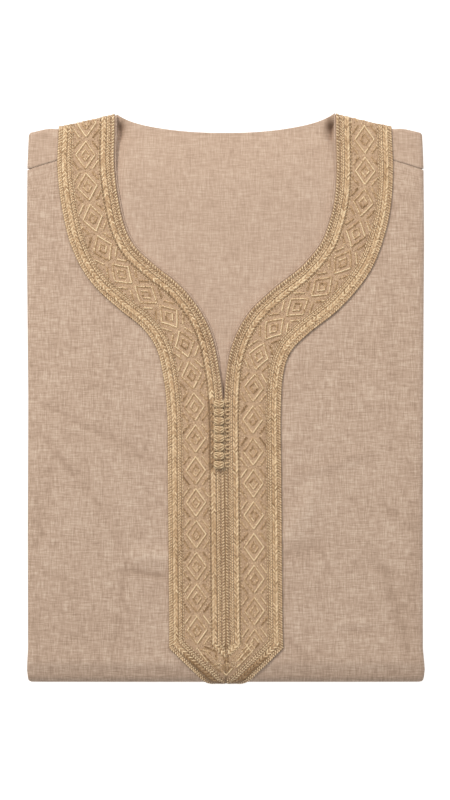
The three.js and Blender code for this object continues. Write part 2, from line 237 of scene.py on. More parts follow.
def skin(x, y, lift):
    # the outer skin, a height above it; y runs along the cloth and so on round the folds
    x, y, lift = np.broadcast_arrays(*(np.asarray(v, float) for v in (x, y, lift)))
    top, bottom = packet["shoulderFold"], packet["bottomFold"]
    shoulderY = foldLineY(x)
    angle = angleAfter(top, y - shoulderY)
    overY = shoulderY + (top["out"] + lift) * np.sin(angle)
    overZ = stack - top["rise"] + (top["rise"] + lift) * np.cos(angle)
    angle = angleAfter(bottom, bottom["y"] - y)
    underY = bottom["y"] - (bottom["out"] + lift) * np.sin(angle)
    underZ = bottom["rise"] + (bottom["rise"] + lift) * np.cos(angle)
    over, under = y > shoulderY, y < bottom["y"]
    newY = np.where(over, overY, np.where(under, underY, y))
    newZ = np.where(over, overZ, np.where(under, underZ, stack + lift))
    return np.stack([x, newY, newZ], -1)


# meshes from points

millimetre = 0.001  # Blender works in metres


def meshPiece(name, points, faces, material, uvs=None, tones=None, replaces=None):
    # points in millimetres; uvs and tones are one value for each point
    mesh = bpy.data.meshes.new(name)
    places = (np.asarray(points) * millimetre).tolist()
    mesh.from_pydata(places, [], [list(map(int, face)) for face in faces])
    corners = np.empty(len(mesh.loops), np.int32)
    mesh.loops.foreach_get("vertex_index", corners)
    if uvs is not None:
        layer = mesh.uv_layers.new(name="clothMap")
        layer.data.foreach_set("uv", (np.asarray(uvs, np.float32)[corners] * millimetre).ravel())
    if tones is not None:
        layer = mesh.attributes.new("tone", "FLOAT", "POINT")
        layer.data.foreach_set("value", np.asarray(tones, np.float32))
    mesh.materials.append(material)
    mesh.validate()
    mesh.update()
    made = bpy.data.objects.new(name, mesh)
    bpy.context.collection.objects.link(made)
    mesh.shade_smooth()
    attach(made, "root")
    if replaces:
        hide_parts(replaces)
    return made


class ClothSheet:
    # a sheet in the plain packet: points, their place along and across the cloth, and faces
    def __init__(self):
        self.points, self.uvs, self.faces = [], [], []

    def add(self, point, uv=(0, 0)):
        self.points.append(point)
        self.uvs.append(uv)
        return len(self.points) - 1

    def fill(self, rows, turned=False):
        for upper, lower in zip(rows, rows[1:]):
            for c in range(1, len(upper)):
                ring = [upper[c - 1], lower[c - 1], lower[c], upper[c]]
                ring = [p for i, p in enumerate(ring) if p not in ring[:i]]
                if len(ring) > 2:
                    self.faces.append(ring[::-1] if turned else ring)


def thicken(piece, thickness):
    bpy.ops.object.select_all(action="DESELECT")
    piece.select_set(True)
    bpy.context.view_layer.objects.active = piece
    bpy.ops.object.modifier_add(type="SOLIDIFY")
    wall = piece.modifiers[-1]
    wall.thickness = thickness * millimetre
    wall.offset = -1
    wall.use_even_offset = False
    bpy.ops.object.modifier_apply(modifier=wall.name)
    piece.select_set(False)


# materials

clothFinish = {
    "stops": [(0, "#a38b78"), (0.5, "#bda491"), (1, "#d5c1ae")],
    "middle": 1.78,  # where the noises add up to this, the middle colour shows
    "reach": 0.455,  # and this far from it the light and the dark one
    # warp and weft: grain across and along in mm, detail, place in the noise and share;
    # real yarns are about 0.4 mm wide and are drawn wider, so that they show
    "yarns": [(0.85, 8, 3, 3.1, 1), (8, 0.85, 3, 7.7, 1)],
    # slubs, flecks, bars where thicker or darker yarns lie together, and mottling
    "uneven": [(1.7, 15, 2, 8.3, 0.45), (15, 1.7, 2, 5.2, 0.45), (1.1, 1.1, 2, 4.4, 0.2),
               (7, 44, 1, 2.9, 0.16), (44, 7, 1, 6.1, 0.16), (30, 30, 1, 1.3, 0.14)],
    # painted shade: how much each point's tone darkens the cloth
    "paintedShadeScale": -0.5,
    # painted shadow: where the painted shade is deepest, in the pockets and at the foot of the
    # slit, the colour turns to this dark brown between these tones
    "inside": {"colour": "#6e5644", "from": 0.9, "to": 2.6, "share": 0.8},
    "weavePitch": 0.55,
    "weaveBump": 0.35,
    "bump": {"Strength": 0.3, "Distance": 0.0003},
    "surface": {"Roughness": 0.92, "Specular IOR Level": 0.25, "Sheen Weight": 0.12,
                "Sheen Roughness": 0.5},
}
threadFinish = {
    "stops": [(0, "#866640"), (0.5, "#c3a17a"), (1, "#efd7b1")],
    "fibre": 0.35,  # fine fibres, mm
    "grain": 0.3,  # how much they vary the tone, and the middle of that
    "middle": 0.15,
    "bump": {"Strength": 0.3, "Distance": 0.0001},
    "surface": {"Roughness": 0.5, "Specular IOR Level": 0.4, "Sheen Weight": 0.25},
}
cordFinish = {
    "stops": [(0, "#7c5d3a"), (0.5, "#ba9a75"), (1, "#ead2aa")],
    "fibre": 0.6,
    "grain": 0.3,
    "middle": 0.15,
    "bump": {"Strength": 0.3, "Distance": 0.0001},
    "surface": {"Roughness": 0.55, "Specular IOR Level": 0.4, "Sheen Weight": 0.2},
}
groundFinish = {
    "stops": [(0, "#70583a"), (0.5, "#b7997e"), (1, "#d4b896")],
    "ribs": [(2.2, 0.8, 2, 2.2, 1), (0.8, 2.8, 2, 5.5, 1)],  # listed as the cloth's yarns
    "grain": 0.55,
    "middle": 0.55,
    "bump": {"Strength": 0.5, "Distance": 0.0003},
    "surface": {"Roughness": 0.75, "Specular IOR Level": 0.3, "Sheen Weight": 0.1},
}


def startMaterial(name):
    # an empty material and the tone that each point of a piece carries
    made = bpy.data.materials.new(name)
    made.use_nodes = True
    tone = addNode(made.node_tree, "ShaderNodeAttribute", {"attribute_name": "tone"})
    return made, made.node_tree, tone.outputs["Fac"]


def addYarns(tree, yarns, total=None):
    # adds up noises whose grain follows the yarns, each by its share
    flat = addNode(tree, "ShaderNodeUVMap", {"uv_map": "clothMap"})
    place = addNode(tree, "ShaderNodeMapping", None, {
        "Vector": flat.outputs["UV"], "Scale": (1000, 1000, 1)}).outputs["Vector"]  # in mm
    for across, along, detail, seed, share in yarns:
        spread = addNode(tree, "ShaderNodeMapping", None, {
            "Vector": place, "Scale": (1 / across, 1 / along, 1),
            "Location": (seed, seed * 1.7, 0)})
        noise = addNode(tree, "ShaderNodeTexNoise", {"noise_dimensions": "2D"}, {
            "Vector": spread.outputs["Vector"], "Scale": 1, "Detail": detail, "Roughness": 0.55})
        if total is None:
            total = noise.outputs["Fac"]
        else:
            total = addNode(tree, "ShaderNodeMath", {"operation": "MULTIPLY_ADD"}, {
                0: noise.outputs["Fac"], 1: share, 2: total}).outputs["Value"]
    return place, total


def finishMaterial(tree, finish, colour, height, contrast=1):
    shader = tree.nodes["Principled BSDF"]
    relief = addNode(tree, "ShaderNodeBump", None, {
        "Height": height, "Strength": finish["bump"]["Strength"] * contrast,
        "Distance": finish["bump"]["Distance"]})
    tree.links.new(colour, shader.inputs["Base Color"])
    tree.links.new(relief.outputs["Normal"], shader.inputs["Normal"])
    for name, value in finish["surface"].items():
        shader.inputs[name].default_value = value


def finishThread(tree, finish, tone, grain):
    # the piece's own tone picks the colour and the grain varies it
    shade = addNode(tree, "ShaderNodeMath", {"operation": "MULTIPLY_ADD"}, {
        0: grain, 1: finish["grain"], 2: tone})
    less = addNode(tree, "ShaderNodeMath", {"operation": "SUBTRACT"}, {
        0: shade.outputs["Value"], 1: finish["middle"]})
    colours = addNode(tree, "ShaderNodeValToRGB", {"stops": finish["stops"]},
                      {"Fac": less.outputs["Value"]})
    finishMaterial(tree, finish, colours.outputs["Color"], grain)


def makeCloth(name, contrast):
    # cotton-linen, plain-woven from slub yarns: crossed light and dark streaks, no gloss
    material, tree, tone = startMaterial(name)
    place, streaks = addYarns(tree, clothFinish["yarns"])
    _, uneven = addYarns(tree, clothFinish["uneven"], streaks)
    # painted shade: each point's tone darkens the colour
    shaded = addNode(tree, "ShaderNodeMath", {"operation": "MULTIPLY_ADD"}, {
        0: tone, 1: clothFinish["paintedShadeScale"], 2: uneven})
    middle, reach = clothFinish["middle"], clothFinish["reach"] / contrast
    shade = addNode(tree, "ShaderNodeMapRange", None, {
        "Value": shaded.outputs["Value"], "From Min": middle - reach, "From Max": middle + reach})
    colours = addNode(tree, "ShaderNodeValToRGB", {"stops": clothFinish["stops"]},
                      {"Fac": shade.outputs["Result"]})
    # over and under of the threads, at their real pitch
    wave = 0.314 / clothFinish["weavePitch"]  # at scale 1 a wave texture repeats every 0.314
    warp, weft = (addNode(tree, "ShaderNodeTexWave", {"bands_direction": direction}, {
        "Vector": place, "Scale": wave, "Distortion": 0.6, "Detail": 1, "Detail Scale": 0.4})
        for direction in ("X", "Y"))
    woven = addNode(tree, "ShaderNodeMath", {"operation": "MULTIPLY"}, {
        0: warp.outputs["Fac"], 1: weft.outputs["Fac"]})
    height = addNode(tree, "ShaderNodeMath", {"operation": "MULTIPLY_ADD"}, {
        0: woven.outputs["Value"], 1: clothFinish["weaveBump"], 2: streaks})
    # painted shadow: the deepest painted shade turns the colour dark brown
    inside = clothFinish["inside"]
    depth = addNode(tree, "ShaderNodeMapRange", None, {
        "Value": tone, "From Min": inside["from"], "From Max": inside["to"],
        "To Max": inside["share"]})
    colourWithPaintedShade = addNode(tree, "ShaderNodeMix", {"data_type": "RGBA"}, {
        0: depth.outputs["Result"], 6: colours.outputs["Color"], 7: [*linear(inside["colour"]), 1]})
    finishMaterial(tree, clothFinish, colourWithPaintedShade.outputs[2], height.outputs["Value"], contrast)
    return material


def makeThread(name, finish):
    # spun rayon: each stitch has its own tone, fine fibres run over it, a silky glow at the edges
    material, tree, tone = startMaterial(name)
    where = addNode(tree, "ShaderNodeTexCoord")
    fibres = addNode(tree, "ShaderNodeTexNoise", {"noise_dimensions": "3D"}, {
        "Vector": where.outputs["Object"], "Scale": 1000 / finish["fibre"], "Detail": 1})
    finishThread(tree, finish, tone, fibres.outputs["Fac"])
    return material


def makeGround():
    # woven rayon ground of the trim: fine cross ribs, with painted shade from each point's tone,
    # darker in the channels between the braids
    material, tree, tone = startMaterial("woven_rayon_ground")
    _, ribs = addYarns(tree, groundFinish["ribs"])
    finishThread(tree, groundFinish, tone, ribs)
    return material


clothMaterial = makeCloth("cotton_linen_plain_weave", 1.0)
backMaterial = makeCloth("cotton_linen_smooth_side", 0.72)
groundMaterial = makeGround()
threadMaterial = makeThread("rayon_embroidery_thread", threadFinish)
cordMaterial = makeThread("twisted_rayon_cord", cordFinish)

# lines of the trim in plan

trim = {
    "width": 42.6,
    "base": 1.0,
    "wall": 0.9,
    "lift": 0.35,
    "wrap": 5.4,  # carried over the shoulder fold
    "pressed": {"deep": 0.5, "from": -207.5, "over": 8},  # closer round the bottom fold
    "tipY": -231.6,
    "straightY": -174,  # the strips run straight from here to the turn at the point
    "clothPast": 0.9,
    # middle line of each strip, from the shoulder down
    "left": [
        (-105.6, 200), (-105.8, 175), (-102.6, 148), (-97, 123.5), (-89.6, 107.2), (-82, 97.2),
        (-67.2, 83.7), (-47.6, 67.6), (-33.4, 46.9), (-26.4, 20.3), (-23.2, -10), (-22.6, -60),
        (-21.4, -190)],
    "right": [
        (104.9, 200), (105.2, 170), (103.4, 147), (98.9, 127.2), (90.6, 106.4), (72.5, 84.2),
        (48.2, 64.6), (33.6, 50), (25.6, 34.6), (21.7, 16), (20.4, -10), (20.8, -60), (21.8, -190)],
    # distance from the outer edge before and after the turn at the point
    "turnFrom": [0, 12.5, 32, 42.6],
    "turnTo": [0, 13.6, 24.8, 32],
    # ground in section: distance from the neck edge, height (0 is a channel) and tone, painted
    # light and shade: darker in the channels and on the slopes, lighter on the rises
    "section": [
        (-0.3, 0.05, 0.4), (0.2, 0.25, 0.5), (1.1, 0.4, 0.5), (2.2, 0.25, 0.4), (2.6, 0, 0.2),
        (3.0, 0.2, 0.35), (4.3, 0.32, 0.45), (5.6, 0.2, 0.35), (5.9, 0, 0.25), (6.2, 0.25, 0.35),
        (8.2, 0.42, 0.45), (10.0, 0.25, 0.35), (10.3, 0, 0.2), (11.1, 0, 0.3), (11.8, 0.12, 0.5),
        (14.5, 0.15, 0.52), (18, 0.15, 0.55), (21.4, 0.15, 0.55), (25, 0.15, 0.55),
        (28.4, 0.15, 0.52), (30.8, 0.12, 0.5), (31.1, 0, 0.25), (31.6, 0.22, 0.6), (32.0, 0, 0.25),
        (32.3, 0.2, 0.35), (33.8, 0.32, 0.45), (35.2, 0.2, 0.35), (35.45, 0, 0.25),
        (35.8, 0.25, 0.35), (37.7, 0.42, 0.45), (39.6, 0.25, 0.35), (39.85, 0, 0.25),
        (40.2, 0.25, 0.4), (41.3, 0.4, 0.5), (42.2, 0.25, 0.45), (42.6, 0.05, 0.3)],
}


def centreX(y):
    # the line where the two strips meet
    return mix(-1.3, 0.3, np.clip(-np.asarray(y, float) / 190, 0, 1))


def smoothLine(guide, spacing):
    # centripetal curve through a guide's points, walked at an even spacing
    ends = [np.array(p, float) for p in guide]
    ends = [2 * ends[0] - ends[1], *ends, 2 * ends[-1] - ends[-2]]
    fine = []
    for a, b, c, d in zip(ends, ends[1:], ends[2:], ends[3:]):
        t0, t1, t2, t3 = np.cumsum([0, *(math.sqrt(np.linalg.norm(q - p))
                                         for p, q in ((a, b), (b, c), (c, d)))])
        for t in np.linspace(t1, t2, 40, endpoint=False):
            ab = ((t1 - t) * a + (t - t0) * b) / (t1 - t0)
            bc = ((t2 - t) * b + (t - t1) * c) / (t2 - t1)
            cd = ((t3 - t) * c + (t - t2) * d) / (t3 - t2)
            abc = ((t2 - t) * ab + (t - t0) * bc) / (t2 - t0)
            bcd = ((t3 - t) * bc + (t - t1) * cd) / (t3 - t1)
            fine.append(((t2 - t) * abc + (t - t1) * bcd) / (t2 - t1))
    fine.append(ends[-2])
    return evenly(np.array(fine), spacing)


def runOf(line):
    # length along a line at each of its points
    return np.concatenate([[0], np.cumsum(np.linalg.norm(np.diff(line, axis=0), axis=1))])


def evenly(line, spacing):
    # even places on a line, their directions and the length up to each
    run = runOf(line)
    wanted = np.linspace(0, run[-1], max(2, round(run[-1] / spacing) + 1))
    at = np.stack([np.interp(wanted, run, line[:, i]) for i in (0, 1)], -1)
    along = np.gradient(at, axis=0)
    return at, along / np.linalg.norm(along, axis=1, keepdims=True), wanted


def alongLine(line, where):
    # places and directions at some lengths along an even line
    at, along, run = line
    return [np.stack([np.interp(where, run, values[:, i]) for i in (0, 1)], -1)
            for values in (at, along)]


guides = {name: smoothLine(trim[name], 0.5) for name in sides}


def beside(name, at, along, distance):
    # a point beside a line; positive distances lead toward the neck
    out = sides[name] * distance
    return np.stack([at[..., 0] + out * along[..., 1], at[..., 1] - out * along[..., 0]], -1)


def turnAt(fromNeck):
    # where a line of the trim turns in: distance from the centre line, y and the length left
    across = fromNeck + packet["gap"] / 2
    turned = np.interp(trim["width"] - fromNeck, trim["turnFrom"], trim["turnTo"])
    reach = np.maximum(across - packet["gap"] / 2, 0.5)
    return across, trim["tipY"] + turned * math.sqrt(2) + across, reach


def lane(name, fromNeck):
    # one line of the trim from behind the shoulder to the centre line, as an even path
    side = sides[name]
    at, along, _ = guides[name]
    keep = at[:, 1] > trim["straightY"]
    offset = beside(name, at, along, trim["width"] / 2 - fromNeck)[keep]
    x0 = offset[0, 0]
    over = [[x0, foldLineY(x0) + trim["wrap"]], [x0, foldLineY(x0)]]
    across, turnY, reach = turnAt(fromNeck)
    centre, outer = float(centreX(turnY)), across + 0.5
    point = [[centre + side * outer, turnY], [centre + side * (outer - reach), turnY - reach]]
    return evenly(np.concatenate([over, offset, point]), 0.25)


def liftAt(y):
    facts = trim["pressed"]
    return trim["lift"] - facts["deep"] * ease((facts["from"] - y) / facts["over"])


def neckEdge(name):
    # the front's cut edge as x for each y
    at, along, _ = guides[name]
    line = beside(name, at, along, trim["width"] / 2 + trim["clothPast"])
    side = sides[name]
    x = side * np.maximum(side * line[:, 0], side * centreX(line[:, 1]) + packet["gap"] / 2)
    return line[::-1, 1], x[::-1]


# the front: top, bottom fold, underside and tail fold in one length of cloth

front = {
    "grid": 1.9,
    "underGrid": 12.0,
    "columns": 68,
    "plainY": 150,  # above it the rows fan out to the shoulder seams
    "seamSteps": 15,
    "bottomSteps": 14,
    "bottomStep": 1.86,  # cloth from row to row round the fold
    "tailSteps": 10,
    "tailStep": 1.85,
    "flat": (0.322, 0.848),
    # creases of the pressed cloth, as soft troughs and ridges: middle x and y, length, turn from
    # across, width, depth (minus stands up) and the shade painted down in the crease (minus is
    # painted light)
    "creases": [
        (-116, -16, 56, -24, 3, 0.2, 0.4),
        (-72, -38, 64, -25, 3.4, 0.12, 0.22),
        (-76, -32, 54, -27, 10, 0.3, 0.22),
        (-121, -50, 54, -46, 3, 0.22, 0.42),
        (-92, -88, 76, -57, 4.2, 0.2, 0.25),
        (-60, -132.5, 40, -2, 3.4, 0.3, 0.75),
        (-56, -120, 34, 3, 9, -0.9, -0.25),
        (-76, -134, 44, 88, 3, 0.2, 0.35),
        (-83, -181, 26, 78, 3.2, 0.2, 0.35),
        (-116, -139, 26, -12, 5, 0.2, 0.3),
        (-141, -92, 80, 84, 9, 0.2, 0.25),
        (-118, -176, 90, 12, 30, 0, 0.16),
        (-88, 30, 60, 86, 5, -0.35, 0.1),
        (-122, 96, 66, 70, 9, -0.4, 0.06),
        (60, -115, 34, 20, 9, 0.5, 0.42),
        (57, -88, 44, 66, 11, -0.9, -0.25),
        (80, -50, 64, 22, 6, -0.5, 0.1),
        (114, -128, 30, -12, 5, 0.2, 0.3),
        (130, -162, 84, -68, 7, 0.4, 0.42),
        (143, -130, 90, 92, 8, 0, 0.22),
        (126, -85, 15, -25, 4, 0.3, 0.6),
        (141, -99, 16, -25, 3, 0.15, 0.35),
        (100, -170, 34, 6, 3.4, -0.35, -0.15),
        (100, -177, 34, 6, 5, 0.2, 0.25),
        (54, -190, 26, -40, 4.5, 0.2, 0.35),
        (120, 62, 90, 98, 9, -0.45, 0.08),
        (92, 10, 60, -38, 6, -0.4, 0.1),
    ],
    # the same underneath, where they run with the skirt
    "underCreases": [
        (-66, -24, 250, 87, 7, 0.5, 0.45),
        (38, 44, 230, 94, 6, 0.4, 0.4),
        (101, -92, 170, 83, 8, 0.45, 0.35),
        (-114, 78, 140, 99, 6, 0.35, 0.4),
        (4, -128, 110, 72, 9, 0.4, 0.3),
    ],
    # painted shade: darker where the cloth turns down to the bottom fold
    "bottomShade": {"paintedShade": 0.35, "from": -201, "over": 12},  # the cloth turns down to the fold
}


def creaseAt(x, y, under=False):
    # depth of the creases at a place, and the shade painted down in them; on top, painted shade
    # also where the cloth turns down to the bottom fold
    depth = paintedShade = 0.0
    creases = front["underCreases"] if under else front["creases"]
    for middleX, middleY, long, turn, wide, deep, shade in creases:
        turn = math.radians(turn)
        along = (x - middleX) * math.cos(turn) + (y - middleY) * math.sin(turn)
        if abs(along) > 0.75 * long:
            continue
        off = (y - middleY) * math.cos(turn) - (x - middleX) * math.sin(turn)
        off = off + 0.03 * long * math.sin(along / long * 4)  # no crease is quite straight
        share = math.exp(-(off / wide) ** 2 * 2) * math.exp(-(along / long) ** 4 * 14)
        depth += deep * share
        paintedShade += shade * share
    if not under:
        facts = front["bottomShade"]
        paintedShade += facts["paintedShade"] * float(ease((facts["from"] - y) / facts["over"]))
    return depth, paintedShade


def roundFold(fold, direction, angle, x, depth):
    # a point at an angle round the bottom or the tail fold, a depth inside the skin
    share = 1 - depth / fold["rise"]
    y = fold["y"] + direction * fold["out"] * share * math.sin(angle)
    return [x, y, fold["rise"] * (1 + share * math.cos(angle))]


def rollSection(height, count=12):
    # a side fold in section, as (how far out, depth), with the short leg that is tucked in
    turn = [math.pi * i / count for i in range(count + 1)]
    rows = [(packet["rollOut"] * math.sin(t), height / 2 * (1 - math.cos(t))) for t in turn]
    return rows + [(-packet["rollLeg"] / 2, height), (-packet["rollLeg"], height)]


def frontStations():
    # each row is (kind, value, share of the way to the under layer, place along the cloth)
    seamY, bottomY, tailY = (packet[key]["y"] for key in ("seam", "bottomFold", "tailFold"))
    seam, round1, round2 = front["seamSteps"], front["bottomSteps"], front["tailSteps"]
    plainY = front["plainY"]
    rows = [("seam", 1 - i / seam, 0, seamY - (seamY - plainY) * i / seam) for i in range(seam)]
    for y in np.linspace(plainY, bottomY, round((plainY - bottomY) / front["grid"]) + 1):
        rows.append(("top", float(y), 0, float(y)))
    run = bottomY
    for i in range(1, round1 + 1):
        run -= front["bottomStep"]
        rows.append(("bottom", math.pi * i / round1, i / round1, run))
    for y in np.linspace(bottomY, tailY, round((tailY - bottomY) / front["underGrid"]) + 1)[1:]:
        rows.append(("under", float(y), 1, run - (float(y) - bottomY)))
    run = rows[-1][3]
    for i in range(1, round2 + 1):
        run -= front["tailStep"]
        rows.append(("tail", math.pi * (1 - i / round2), 1, run))
    return rows


def frontPoint(row, x, depth):
    kind, value = row[:2]
    if kind == "seam":
        y = mix(front["plainY"], float(seamLineY(x)), value)
        return [x, y, stack - depth - creaseAt(x, y)[0]]
    if kind == "top":
        fade = float(ease((value - packet["bottomFold"]["y"]) / 12))
        return [x, value, stack - depth - creaseAt(x, value)[0] * fade]
    if kind == "bottom":
        return roundFold(packet["bottomFold"], -1, value, x, depth)
    if kind == "under":
        return [x, value, depth + creaseAt(x, value, True)[0] * (depth == 0)]
    return roundFold(packet["tailFold"], 1, value, x, depth)


def buildFront():
    sheet = ClothSheet()
    rows = frontStations()
    middle = {}
    for i, row in enumerate(rows):
        if row[0] != "seam" and (row[0] != "top" or row[1] < packet["slitEnd"]):
            y = frontPoint(row, 0, 0)[1]
            x = float(centreX(y))
            middle[i] = sheet.add(frontPoint(row, x, 0), (x, row[3]))
    for name, side in sides.items():
        edgeY, edgeX = neckEdge(name)
        grid = []
        for i, row in enumerate(rows):
            roll = rollSection(mix(packet["topRoll"], packet["underRoll"], row[2]))
            y = frontPoint(row, side * packet["neckHalf"], 0)[1]
            startX = float(np.interp(y, edgeY, edgeX)) if i not in middle else 0.0
            count = front["columns"]
            line = [middle[i]] if i in middle else []
            for t in range(len(line), count + 1):
                x = mix(startX, side * flatEdge, t / count)
                line.append(sheet.add(frontPoint(row, x, 0), (x, row[3])))
            u = flatEdge
            for before, (out, depth) in zip(roll, roll[1:]):
                u += math.hypot(out - before[0], depth - before[1])
                point = frontPoint(row, side * (flatEdge + out), depth)
                line.append(sheet.add(point, (side * u, row[3])))
            grid.append(line)
        sheet.fill(grid, side < 0)
    # painted shade in the creases and toward the bottom fold, carried as each point's tone
    paintedShade = [creaseAt(p[0], p[1], p[2] < stack / 2)[1] for p in sheet.points]
    piece = meshPiece("frontCloth", place(sheet.points), sheet.faces, clothMaterial,
                      uvs=sheet.uvs, tones=paintedShade, replaces="front_panel")
    thicken(piece, packet["cloth"])
    print("front cloth:", len(piece.data.polygons), "faces")
    return piece


frontCloth = buildFront()

# the back: lies inside, comes over the shoulder folds and ends at the shoulder seams

back = {
    "outerSteps": 14,
    "innerSteps": 64,
    "riseSteps": 14,
    "turnSteps": 12,
    "flat": (0.30, 0.46),
    "neckLevel": 17.9,  # it lies a little higher in the neck
    "under": 3.1,  # how far it lies under the top of the front elsewhere
    "cornerXs": [79.3, 81.9, 82.9],  # extra columns at the corners of the neck
    # under the shoulders the fold holds it down; in the neck it lies higher
    "held": {"from": 152, "over": 24},
    "raised": {"from": 176, "over": 32, "to": 190, "fade": 14, "past": 4.6, "pastOver": 4.4},
    # but for a hollow at each corner of the neck
    "hollow": {"deep": 5.5, "wide": 4.0, "in": 2, "from": 190, "over": 9, "to": 211, "fade": 6},
    # painted shade: little light reaches the two pockets and the edge beside the trim, so the
    # cloth there is painted darker: middle x and y, width, height; and how much shade is painted
    # in the pocket on each side
    "pockets": (79, 207, 3.4, 6.5),
    "pocketPaintedShade": {-1: 1.6, 1: 2.7},
    "streaks": [(-23, 94, 3.5, 26), (-31, 80, 3, 20)],
    "streakPaintedShade": 0.12,
    # nor the foot of the slit, which is painted darker too
    "foot": {"paintedShade": 2.7, "x": -2.5, "wide": 4, "from": 17, "over": 13, "to": -30},
}


def spotAt(x, y, middleX, middleY, wide, high):
    # 1 in the middle of a soft spot, less around it
    return math.exp(-((x - middleX) / wide) ** 2 - ((y - middleY) / high) ** 2)


def buildBack():
    sheet = ClothSheet()
    level = stack - back["under"]  # its outside faces down
    pocket = stack - packet["topRoll"]
    neckHalf, gap = packet["neckHalf"], packet["gap"]
    last, rounds = back["outerSteps"], back["turnSteps"]

    def layerZ(y, x):
        low, high, hollow = back["held"], back["raised"], back["hollow"]
        held = mix(level, pocket, float(ease((y - low["from"]) / low["over"])))
        raised = mix(back["neckLevel"], pocket, float(ease((y - high["from"]) / high["over"])))
        free = float(ease((neckHalf + high["past"] - abs(x)) / high["pastOver"]))
        if abs(x) > neckHalf - 0.01:
            free *= float(ease((high["to"] - y) / high["fade"]))
        dip = math.exp(-((abs(x) - neckHalf + hollow["in"]) / hollow["wide"]) ** 2)
        dip *= float(ease((y - hollow["from"]) / hollow["over"])
                     * ease((hollow["to"] - y) / hollow["fade"]))
        return mix(held, raised, free) - hollow["deep"] * dip * (abs(x) < neckHalf)

    outerXs = [mix(neckHalf, flatEdge, i / last) for i in range(last + 1)]
    inner = back["innerSteps"]
    innerXs = [mix(-neckHalf, neckHalf, i / inner) for i in range(1, inner)]
    innerXs = sorted(innerXs + [side * x for side in (-1, 1) for x in back["cornerXs"]])
    xs = [-x for x in outerXs[::-1]] + innerXs + outerXs
    rises = [i / back["riseSteps"] for i in range(back["riseSteps"] + 1)]
    joined = back["riseSteps"] // 2  # the side fold is free below this row

    def tucked(x):
        # the under layer ends short of the leg of the front's side fold
        return math.copysign(min(abs(x), flatEdge - packet["rollLeg"] - 1.3), x)

    def shoulderY(x, t):
        # from the shoulder seam to the fold
        return mix(float(seamLineY(x)) + gap, float(foldLineY(x)), t)

    plainYs = list(np.linspace(-206, 40, 30)) + list(np.linspace(43, 167, 42))
    under = [[sheet.add([tucked(x), y, layerZ(y, x)], (tucked(x), y)) for x in xs]
             for y in map(float, plainYs)]
    for i, t in enumerate(rises):
        row = []
        for x in xs:
            top = float(backNeckY(x)) if abs(x) < neckHalf else float(foldLineY(x))
            y = mix(float(seamLineY(x)) + gap, top, t)
            px = tucked(x) if i < joined else x
            row.append(sheet.add([px, y, layerZ(y, px)], (px, y)))
        under.append(row)
    sheet.fill(under)
    for side in sides.values():
        columns = [xs.index(side * x) for x in outerXs]
        top = []
        for t in rises:
            ys = [shoulderY(x, t) for x in outerXs]
            top.append([sheet.add([side * x, y, stack], (side * x, 440 - y))
                        for x, y in zip(outerXs, ys)])
        sheet.fill(top, side > 0)
        bottom = [[under[len(plainYs) + i][c] for c in columns] for i in range(len(rises))]
        edge = []

        def turn(r, column, angle):
            # the fold in section, from a point of the top to the one under it
            x = side * outerXs[column]
            y = shoulderY(x, rises[r])
            section = []
            for i in range(rounds + 1):
                out = packet["shoulderFold"]["out"] * math.sin(math.pi * i / rounds)
                z = stack - packet["topRoll"] / 2 * (1 - math.cos(math.pi * i / rounds))
                reach = i * 0.9  # along the cloth
                c, s = side * math.cos(angle), math.sin(angle)
                section.append(([x + out * c, y + out * s, z],
                                (x + reach * c, 440 - y - reach * s)))
            free = angle == 0 and r < joined
            lowest = sheet.add(*section[-1]) if free else bottom[r][column]
            edge.append([top[r][column], *(sheet.add(*spot) for spot in section[1:-1]), lowest])

        for r in range(len(rises)):
            turn(r, last, 0)
        for degrees in (18, 36, 54, 72):
            turn(len(rises) - 1, last, math.radians(degrees))
        for c in range(last, -1, -1):
            turn(len(rises) - 1, c, math.pi / 2)
        sheet.fill(edge, side > 0)
    # painted shade in the pockets, at the foot of the slit and along the streaks, carried as each
    # point's tone
    foot, paintedShade = back["foot"], []
    for x, y, _ in sheet.points:
        pockets = back["pocketPaintedShade"][1 if x > 0 else -1] * spotAt(abs(x), y, *back["pockets"])
        down = float(ease((foot["from"] - y) / foot["over"])) * (y > foot["to"])
        inFoot = foot["paintedShade"] * math.exp(-((x - foot["x"]) / foot["wide"]) ** 2) * down
        streaks = back["streakPaintedShade"] * sum(spotAt(x, y, *spot) for spot in back["streaks"])
        paintedShade.append(pockets + inFoot + streaks)
    piece = meshPiece("backCloth", place(sheet.points), sheet.faces, backMaterial,
                      uvs=sheet.uvs, tones=paintedShade, replaces="back_panel")
    thicken(piece, packet["cloth"])
    print("back cloth:", len(piece.data.polygons), "faces")
    return piece


backCloth = buildBack()

# the folds hidden in the packet: sleeves, sides and skirt, seen only as stacked edges

hidden = {
    "radius": 13,
    "cuts": (60, 44),  # points on a long and a short side
    "round": 1.5,  # how far the edge of a ply is rounded
    "wander": (0.45, 0.25),  # the edge of each ply wanders a little
    # each ply: top and bottom, inset from the plain sides, and both ends
    "plies": [
        {"top": 16.4, "low": 15.4, "inset": 2.6, "from": -211.8, "to": 151, "neck": 8.8},
        {"top": 13.3, "low": 11.4, "inset": 2.2, "from": -210.2, "to": 187.4, "neck": 5.4},
        {"top": 11.2, "low": 9.4, "inset": 1.5, "from": -211, "to": 189.2, "neck": 4.6},
        {"top": 9.2, "low": 7.4, "inset": 2.4, "from": -210.6, "to": 188.4, "neck": 5.2},
        {"top": 7.2, "low": 5.4, "inset": 1.6, "from": -210.8, "to": 189.2, "neck": 8.8},
        {"top": 3.1, "low": 1.85, "inset": 3.0, "from": -210.2, "to": 188.6, "neck": 0},
    ],
}


